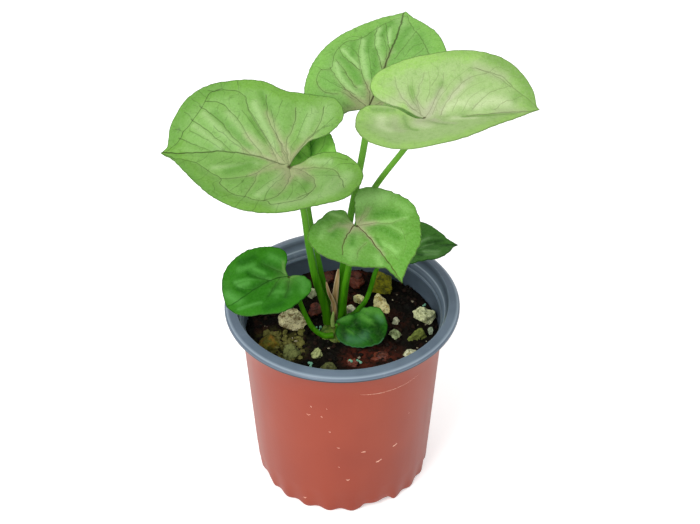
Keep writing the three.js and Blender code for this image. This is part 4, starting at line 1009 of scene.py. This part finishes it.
def stalk_path(points, count):
    """Points equally spaced on the smooth curve that a stalk's middle follows."""
    given = [Vector(p) for p in points]
    given = [2 * given[0] - given[1], *given, 2 * given[-1] - given[-2]]
    curve = []
    for a, b, c, d in zip(given, given[1:], given[2:], given[3:]):
        one, two, three = ((q - p).length ** 0.5 for p, q in ((a, b), (b, c), (c, d)))
        leave = ((b - a) / one - (c - a) / (one + two) + (c - b) / two) * two
        arrive = ((c - b) / two - (d - b) / (two + three) + (d - c) / three) * two
        for step in range(CURVE_STEPS):
            w = step / CURVE_STEPS
            cubic = 2 * b - 2 * c + leave + arrive
            square = 3 * c - 3 * b - 2 * leave - arrive
            curve.append(((cubic * w + square) * w + leave) * w + b)
    curve.append(given[-2])
    return evenly(np.array([tuple(p) for p in curve]), count)


def along_tube(tube, path):
    """For each point of a flat sheet that is rolled into a tube round the path: the number of
    its ring, the share of the path passed, its turn, the directions along and across the path
    and whether it closes an end."""
    last = len(path) - 1
    tangents = np.gradient(path, axis=0)
    for vert in tube.verts:
        ring = round(vert.co.y * (last + 2)) - 1
        k = min(max(ring, 0), last)
        along = Vector(tangents[k]).normalized()
        across = Vector((0, -1, 0)).cross(along).normalized()
        yield vert, k, k / last, 2 * pi * vert.co.x, along, across, along.cross(across), ring != k


def leaf_axes(leaf):
    """Unit vectors towards the tip, to the left and up from a leaf's plane."""
    h, p, r = (radians(leaf[key]) for key in ("heading", "pitch", "roll"))
    tip = Vector((cos(h) * cos(p), sin(h) * cos(p), sin(p)))
    level = Vector((-sin(h), cos(h), 0))
    left = level * cos(r) + tip.cross(level) * sin(r)
    return tip, left, tip.cross(left)


def blade_height(leaf, a, b, side):
    folded = tan(radians(leaf["fold"])) * (np.hypot(b, MIDRIB_ROUNDING) - MIDRIB_ROUNDING)
    along = np.where(a > 0, -leaf["droop"], leaf["lift"][side])
    return folded - leaf["cup"] * b * b + along * a * a + leaf["twist"] * a * b


def nearest(curves, places):
    """For each place, its distance to the nearest curve with a sign for the side that it is
    on, the distance without the sign, and how far along that curve it is, from 0 to 1."""
    marks = []
    for curve in curves:
        length = np.linalg.norm(np.diff(np.array(curve, float), axis=0), axis=1).sum()
        count = max(4, int(length / VEIN_SPACING))
        points = smooth_curve(curve, count)
        for k, (point, heading) in enumerate(zip(points, np.gradient(points, axis=0))):
            marks.append((point, heading / np.linalg.norm(heading), k / (count - 1)))
    tree = kdtree.KDTree(len(marks))
    for k, (point, heading, share) in enumerate(marks):
        tree.insert((*point, 0), k)
    tree.balance()
    found = np.full((len(places), 3), (99.0, 99.0, 0.0))
    for k, (a, b) in enumerate(places if marks else []):
        _, index, distance = tree.find((a, b, 0))
        point, heading, share = marks[index]
        across = heading[0] * (b - point[1]) - heading[1] * (a - point[0])
        found[k] = (across if distance < 1.5 else distance, distance, share)
    return found


def bell(distance, width):
    return np.exp(-((distance / width) ** 2))


def leaf_finish(name, look, underside=False):
    tones = {key: srgb(*look[key]) for key in ("margin", "middle", "pale", "dark", "blush_and_sheen", "vein")}
    if underside:
        tones = {key: (*[0.7 * c + 0.06 for c in tone[:3]], 1) for key, tone in tones.items()}
    finish = Finish(name + ("_underside" if underside else ""), 0.6 if underside else look["gloss"], look["shine"])
    leaf_place = finish.add("UVMap", {}, uv_map="leaf_plane")
    patch = finish.noise(5, 3, 0.6, 0.4, at=leaf_place)
    grain = finish.noise(40, 3, 0.7, at=leaf_place)
    wander = finish.plus(finish.painted("from_margin"), finish.ramp(patch, 0.3, 0.7, -1.5, 1.5))
    tone = finish.blend(finish.ramp(wander, 2, 8, 1, 0), tones["middle"], tones["margin"])
    tone = finish.blend(finish.ramp(patch, 0.5, 0.75, 0, 0.3), tone, tones["dark"])
    mottle = finish.noise(17, 4, 0.65, at=leaf_place)
    tone = finish.blend(finish.ramp(mottle, 0.5, 0.66, 0, 0.35), tone, tones["dark"])
    worn = finish.ramp(grain, 0.25, 0.6, 0.75, 1)
    # the pale and dark strokes: the leaf's own paler and darker patches, with painted highlight and painted shade
    tone = finish.blend(finish.times(finish.painted("pale"), worn), tone, tones["pale"])
    tone = finish.blend(finish.times(finish.painted("dark"), worn), tone, tones["dark"])
    # the leaf's pinkish blush, which on the darkest leaf is a painted sheen and a painted highlight on its margin
    tone = finish.blend(finish.times(finish.painted("blush_and_sheen"), look["blush_share"]), tone, tones["blush_and_sheen"])
    tone = finish.blend(finish.ramp(grain, 0.3, 0.7, 0, 0.22), tone, tones["pale"])
    shifted = finish.add("VectorMath", {0: leaf_place, 1: (0.37, 0.61, 0)}, operation="ADD")
    net = finish.ramp(finish.cells(14, "DISTANCE_TO_EDGE", at=shifted), 0.0, 0.05, 1, 0)
    broken = finish.ramp(finish.noise(22, 2, at=leaf_place), 0.45, 0.6, 0, 0.45 * look["lines"][2])
    tone = finish.blend(finish.times(net, broken), tone, tones["vein"])
    mesh_net = finish.cells(55, "DISTANCE_TO_EDGE", at=leaf_place)
    tone = finish.blend(finish.ramp(mesh_net, 0.0, 0.12, 0.1, 0), tone, tones["vein"])
    dot = finish.times(finish.ramp(finish.cells(6, at=leaf_place), 0.012, 0.02, 1, 0), 0.7)
    tone = finish.blend(dot, tone, srgb(42, 48, 22))
    widths = {"midrib": look["midrib_width"], **VEIN_WIDTHS}
    for (attribute, width), strength in zip(widths.items(), look["lines"]):
        tone = finish.blend(finish.line(attribute, width, strength), tone, tones["vein"])
    edge = finish.ramp(finish.painted("from_margin"), 0.1, 0.5, 0.7, 0)
    tone = finish.blend(edge, tone, (*[0.4 * d + 0.4 * v for d, v in zip(tones["dark"][:3], tones["vein"][:3])], 1))
    scar = finish.ramp(finish.plus(finish.painted("from_joint"), finish.ramp(grain, 0.3, 0.7, -0.4, 0.4)),
                       0.3 * look["scar"], look["scar"], 0.85, 0)
    tone = finish.blend(scar, tone, srgb(62, 60, 24))
    finish.colour(tone)
    if not underside:
        shine = finish.noise(12, 3, at=leaf_place)
        finish.roughness(finish.ramp(shine, 0.3, 0.7, look["gloss"] - 0.08, look["gloss"] + 0.1))
    fine = finish.plus(finish.times(finish.ramp(mesh_net, 0, 0.2), 0.4), finish.times(grain, 0.6))
    finish.relief(fine, 0.06)
    return finish


def strokes(painted, places):
    """How strongly soft brush strokes, each a width, a curve and maybe a strength, cover each place."""
    cover = np.zeros(len(places))
    for width, curve, *strength in painted:
        marks = smooth_curve(curve, 30)
        gap = np.hypot(*(places[:, None, k] - marks[None, :, k] for k in range(2))).min(axis=1)
        cover = np.maximum(cover, bell(gap, width) * (strength or [1])[0])
    return cover


stalk_finish = Finish("stalk_skin", 0.42, 0.12)
run = stalk_finish.noise(120, 3, 0.6, at=stalk_finish.stretched(4, 4, 0.25))
tone = stalk_finish.blend(stalk_finish.ramp(run, 0.3, 0.75), srgb(44, 110, 2), srgb(72, 142, 14))
tone = stalk_finish.blend(stalk_finish.painted("height"), tone, srgb(120, 174, 66))
tone = stalk_finish.blend(stalk_finish.painted("foot"), tone, srgb(60, 110, 2))
speck = stalk_finish.ramp(stalk_finish.cells(800), 0.0, 0.1, 0.35, 0)
stalk_finish.colour(stalk_finish.blend(speck, tone, srgb(160, 190, 110)))
stalk_finish.relief(stalk_finish.noise(900, 2, at=stalk_finish.stretched(1, 1, 0.08)), 0.06)

LEAF_LOOKS = {name: USUAL_LOOK | look for name, look in LEAF_LOOKS.items()}
finishes = {name: [leaf_finish(name, look, underside) for underside in (False, True)]
            for name, look in LEAF_LOOKS.items()}

for leaf_name, leaf in LEAVES.items():
    tip, left, up = leaf_axes(leaf)
    joint = Vector(leaf["joint"])

    # the blade: each half is a strip from the lobe's end to the tip, between the inner edge
    # of the lobe with the midrib on one side and the outer margin on the other
    size = leaf["tip"]
    lobe_rows, front_rows = leaf["rows"]
    midrib_line = np.stack([np.linspace(0, size, front_rows + 1), np.zeros(front_rows + 1)], axis=1)
    blade = bmesh.new()
    outlines = [[(0, 0), *leaf[key], (size, 0)] for key in ("left", "right")]
    for side, outline in enumerate(outlines):
        lobe_end, shoulder = leaf["lobe_end"][side], leaf["shoulder"][side]
        inner = np.vstack([part_of_curve(outline, lobe_end, 0, lobe_rows + 1)[:-1], midrib_line])
        outer = np.vstack([
            part_of_curve(outline, lobe_end, shoulder, lobe_rows + 1)[:-1],
            part_of_curve(outline, shoulder, len(outline) - 1, front_rows + 1),
        ])
        half = unit_sheet(leaf["columns"], lobe_rows + front_rows)
        for vert in half.verts:
            row = round(vert.co.y * (lobe_rows + front_rows))
            a, b = inner[row] + (outer[row] - inner[row]) * vert.co.x
            vert.co = (a, b, float(blade_height(leaf, a, b, side)))
        if side == 0:
            bmesh.ops.reverse_faces(half, faces=half.faces)
        half_mesh = bpy.data.meshes.new("half")
        half.to_mesh(half_mesh)
        half.free()
        blade.from_mesh(half_mesh)
        bpy.data.meshes.remove(half_mesh)
    bmesh.ops.remove_doubles(blade, verts=blade.verts, dist=1e-4)
    if sum(face.normal.z for face in blade.faces) < 0:
        bmesh.ops.reverse_faces(blade, faces=blade.faces)
    places = np.array([vert.co[:2] for vert in blade.verts])
    from_margin = nearest(outlines, places)[:, 1]
    wobble = [[0.45 * noise.noise(Vector((a * 0.4, b * 0.4, size + k))) for k in (0, 5)] for a, b in places]
    midrib, side_vein, fine_vein, rim_vein = (
        nearest(leaf.get(key, []), places + np.array(wobble)) for key in ("midrib", "veins", "fine", "collective"))
    pale, dark, pink_and_sheen = (strokes(leaf.get(key, []), places) for key in ("pale", "dark", "pink_and_sheen"))
    from_joint = np.hypot(places[:, 0], places[:, 1])
    from_any = np.minimum(np.minimum(midrib[:, 1], side_vein[:, 1]), rim_vein[:, 1])

    groove = 0.35 * bell(midrib[:, 1], 0.8) * (1 - 0.7 * midrib[:, 2])
    groove += 0.2 * bell(side_vein[:, 1], 0.55) * (1 - 0.6 * side_vein[:, 2]) + 0.1 * bell(rim_vein[:, 1], 0.5)
    quilt = leaf["quilt"] * (1 - bell(from_any, 0.06 * size)) * np.clip(from_margin / 4, 0, 1)
    ripple = [0.5 * noise.noise(Vector((a * 0.09, b * 0.09, size))) for a, b in places]
    relief = quilt - groove + np.array(ripple) * bell(from_margin, 6) * np.clip(from_joint / 12, 0, 1)
    relief += leaf["quilt"] * (0.3 * pale - 0.3 * dark)
    wave = leaf["wave"] * bell(from_margin, 3) * np.clip(from_joint / 6 - 0.5, 0, 1)
    wave *= np.clip((size - places[:, 0]) / 5, 0, 1)

    lines = {"midrib": midrib, "side_vein": side_vein, "fine_vein": fine_vein, "rim_vein": rim_vein}
    for name, (start, end) in zip(lines, leaf.get("line_strength", USUAL_STRENGTH)):
        lines[name][:, 2] = start + (end - start) * lines[name][:, 2]
    near_joint = bell(from_joint, 0.14 * size)
    joint_blush = LEAF_LOOKS[leaf["look"]]["joint_blush"]
    zones = {
        "from_margin": from_margin,
        "from_joint": from_joint,
        "pale": pale,
        "dark": dark,
        "blush_and_sheen": np.clip(joint_blush * (0.9 * near_joint + 0.5 * bell(from_any, 1.2) * bell(from_joint, 0.4 * size))
                         + (0.5 if size > 32 else 1.2) * pink_and_sheen, 0, 1),
    }
    line_layers = {name: blade.verts.layers.float_vector.new(name) for name in lines}
    zone_layers = {name: blade.verts.layers.float.new(name) for name in zones}
    uv = blade.loops.layers.uv.new("leaf_plane")
    for face in blade.faces:
        for loop in face.loops:
            loop[uv].uv = (loop.vert.co.x / UV_SIZE, loop.vert.co.y / UV_SIZE)
    blade.verts.ensure_lookup_table()
    for k, vert in enumerate(blade.verts):
        for name, layer in line_layers.items():
            vert[layer] = lines[name][k]
        for name, layer in zone_layers.items():
            vert[layer] = float(zones[name][k])
        a, b, height = vert.co
        a += wave[k] * 2 * noise.noise(Vector((a * 0.5, b * 0.5, size)))
        b += wave[k] * 2 * noise.noise(Vector((a * 0.5, b * 0.5, size + 9)))
        vert.co = (joint + tip * a + left * b + up * (height + relief[k])) * MM
    bmesh.ops.recalc_face_normals(blade, faces=blade.faces)
    if sum(face.normal.dot(up) for face in blade.faces) < 0:
        bmesh.ops.reverse_faces(blade, faces=blade.faces)
    made = set_down("leaf_" + leaf_name, blade, finishes[leaf["look"]], "leaf", "blade_" + leaf_name, sharp=180)
    thickness = made.modifiers.new("thickness", "SOLIDIFY")
    thickness.thickness = BLADE_THICKNESS * MM
    thickness.offset = 0
    thickness.material_offset = 1
    thickness.material_offset_rim = 0

    # the stalk: a tapered tube that widens where it clasps the crown
    path = stalk_path([*leaf["stalk"], joint - up * 0.75], STALK_RINGS + 1)
    path[-1] = joint + tip * 0.7 - up * 0.5
    foot, neck = leaf["stalk_radius"]
    stalk = unit_sheet(STALK_SIDES, STALK_RINGS + 2)
    height_layer = stalk.verts.layers.float.new("height")
    foot_layer = stalk.verts.layers.float.new("foot")
    for vert, k, t, turn, along, across, out, closing in along_tube(stalk, path):
        radius = foot + (neck - foot) * t
        radius *= (1 - 0.08 * max(0, sin(turn)) ** 4) * (1 + 0.25 * exp(-t * 14))
        if closing:
            radius = 0
        offset = across * cos(turn) * radius + out * sin(turn) * radius
        if k > STALK_RINGS - 4:
            slant = (k - STALK_RINGS + 4) / 4
            offset -= along * (offset.dot(up) / along.dot(up)) * slant
        vert.co = (Vector(path[k]) + offset) * MM
        vert[height_layer] = 0.6 * min(max((path[k][2] - 105) / 60, 0), 1)
        vert[foot_layer] = max(0, 1 - t * 9) * 0.7
    close_up(stalk)
    set_down("leaf_stalk_" + leaf_name, stalk, [stalk_finish], "stalk", "stalk_" + leaf_name, sharp=60)

# ---------- sheaths ----------
# A pale rolled new leaf and two dry papery sheaths of old leaves, pinkish brown with paler
# edges, which still clasp the foot of the stalks.
SHEATHS = {
    "young_shoot": ([(-4.1, -2.4, 80.7), (-4.3, -2.3, 84), (-3.9, -2.2, 89)], 1, 0.8),
    "dry_sheath_left": ([(-3.1, 0.8, 80.7), (-3.8, 0.5, 91.5), (-5.9, -0.4, 98.5), (-7, -0.9, 105)], 1.15, 0.55),
    "dry_sheath_back": ([(-3.7, 2, 80.8), (-3.6, 2, 89.5), (-2.8, 1.9, 98), (-1.6, 2, 110)], 1.6, 0.6),
}
SHEATH_SIDES = 20
SHEATH_RINGS = 60

dry_finish = Finish("dry_sheath", 0.7, 0.3)
fibre = dry_finish.noise(300, 4, 0.7, at=dry_finish.stretched(3, 3, 0.2))
tone = dry_finish.blend(dry_finish.ramp(fibre, 0.35, 0.65), srgb(136, 104, 58), srgb(194, 164, 112))
dry_finish.colour(dry_finish.blend(dry_finish.painted("edge"), tone, srgb(224, 208, 170)))
dry_finish.relief(fibre, 0.15)
shoot_finish = Finish("young_shoot_skin", 0.5, 0.4)
fibre = shoot_finish.noise(300, 3, 0.6, at=shoot_finish.stretched(3, 3, 0.2))
shoot_finish.colour(shoot_finish.blend(fibre, srgb(132, 164, 72), srgb(160, 184, 104)))
shoot_finish.relief(fibre, 0.1)

for name, (points, width, depth) in SHEATHS.items():
    dry = "dry" in name
    path = stalk_path(points, SHEATH_RINGS + 1)
    sheath = unit_sheet(SHEATH_SIDES, SHEATH_RINGS + 2)
    edge_layer = sheath.verts.layers.float.new("edge")
    for vert, k, t, turn, along, across, out, closing in along_tube(sheath, path):
        narrowing = 0 if closing else (1 - 0.97 * t * t) ** 0.5
        crease = 1 - 0.45 * max(0, sin(turn)) ** 2 if dry else 1
        offset = across * cos(turn) * width * narrowing + out * sin(turn) * depth * narrowing * crease
        vert.co = (Vector(path[k]) + offset) * MM
        vert[edge_layer] = abs(cos(turn)) ** 4
    close_up(sheath)
    finish = dry_finish if dry else shoot_finish
    set_down("papery_" + name if dry else "rolled_" + name, sheath, [finish], "dry_leaf" if dry else "stalk", name)
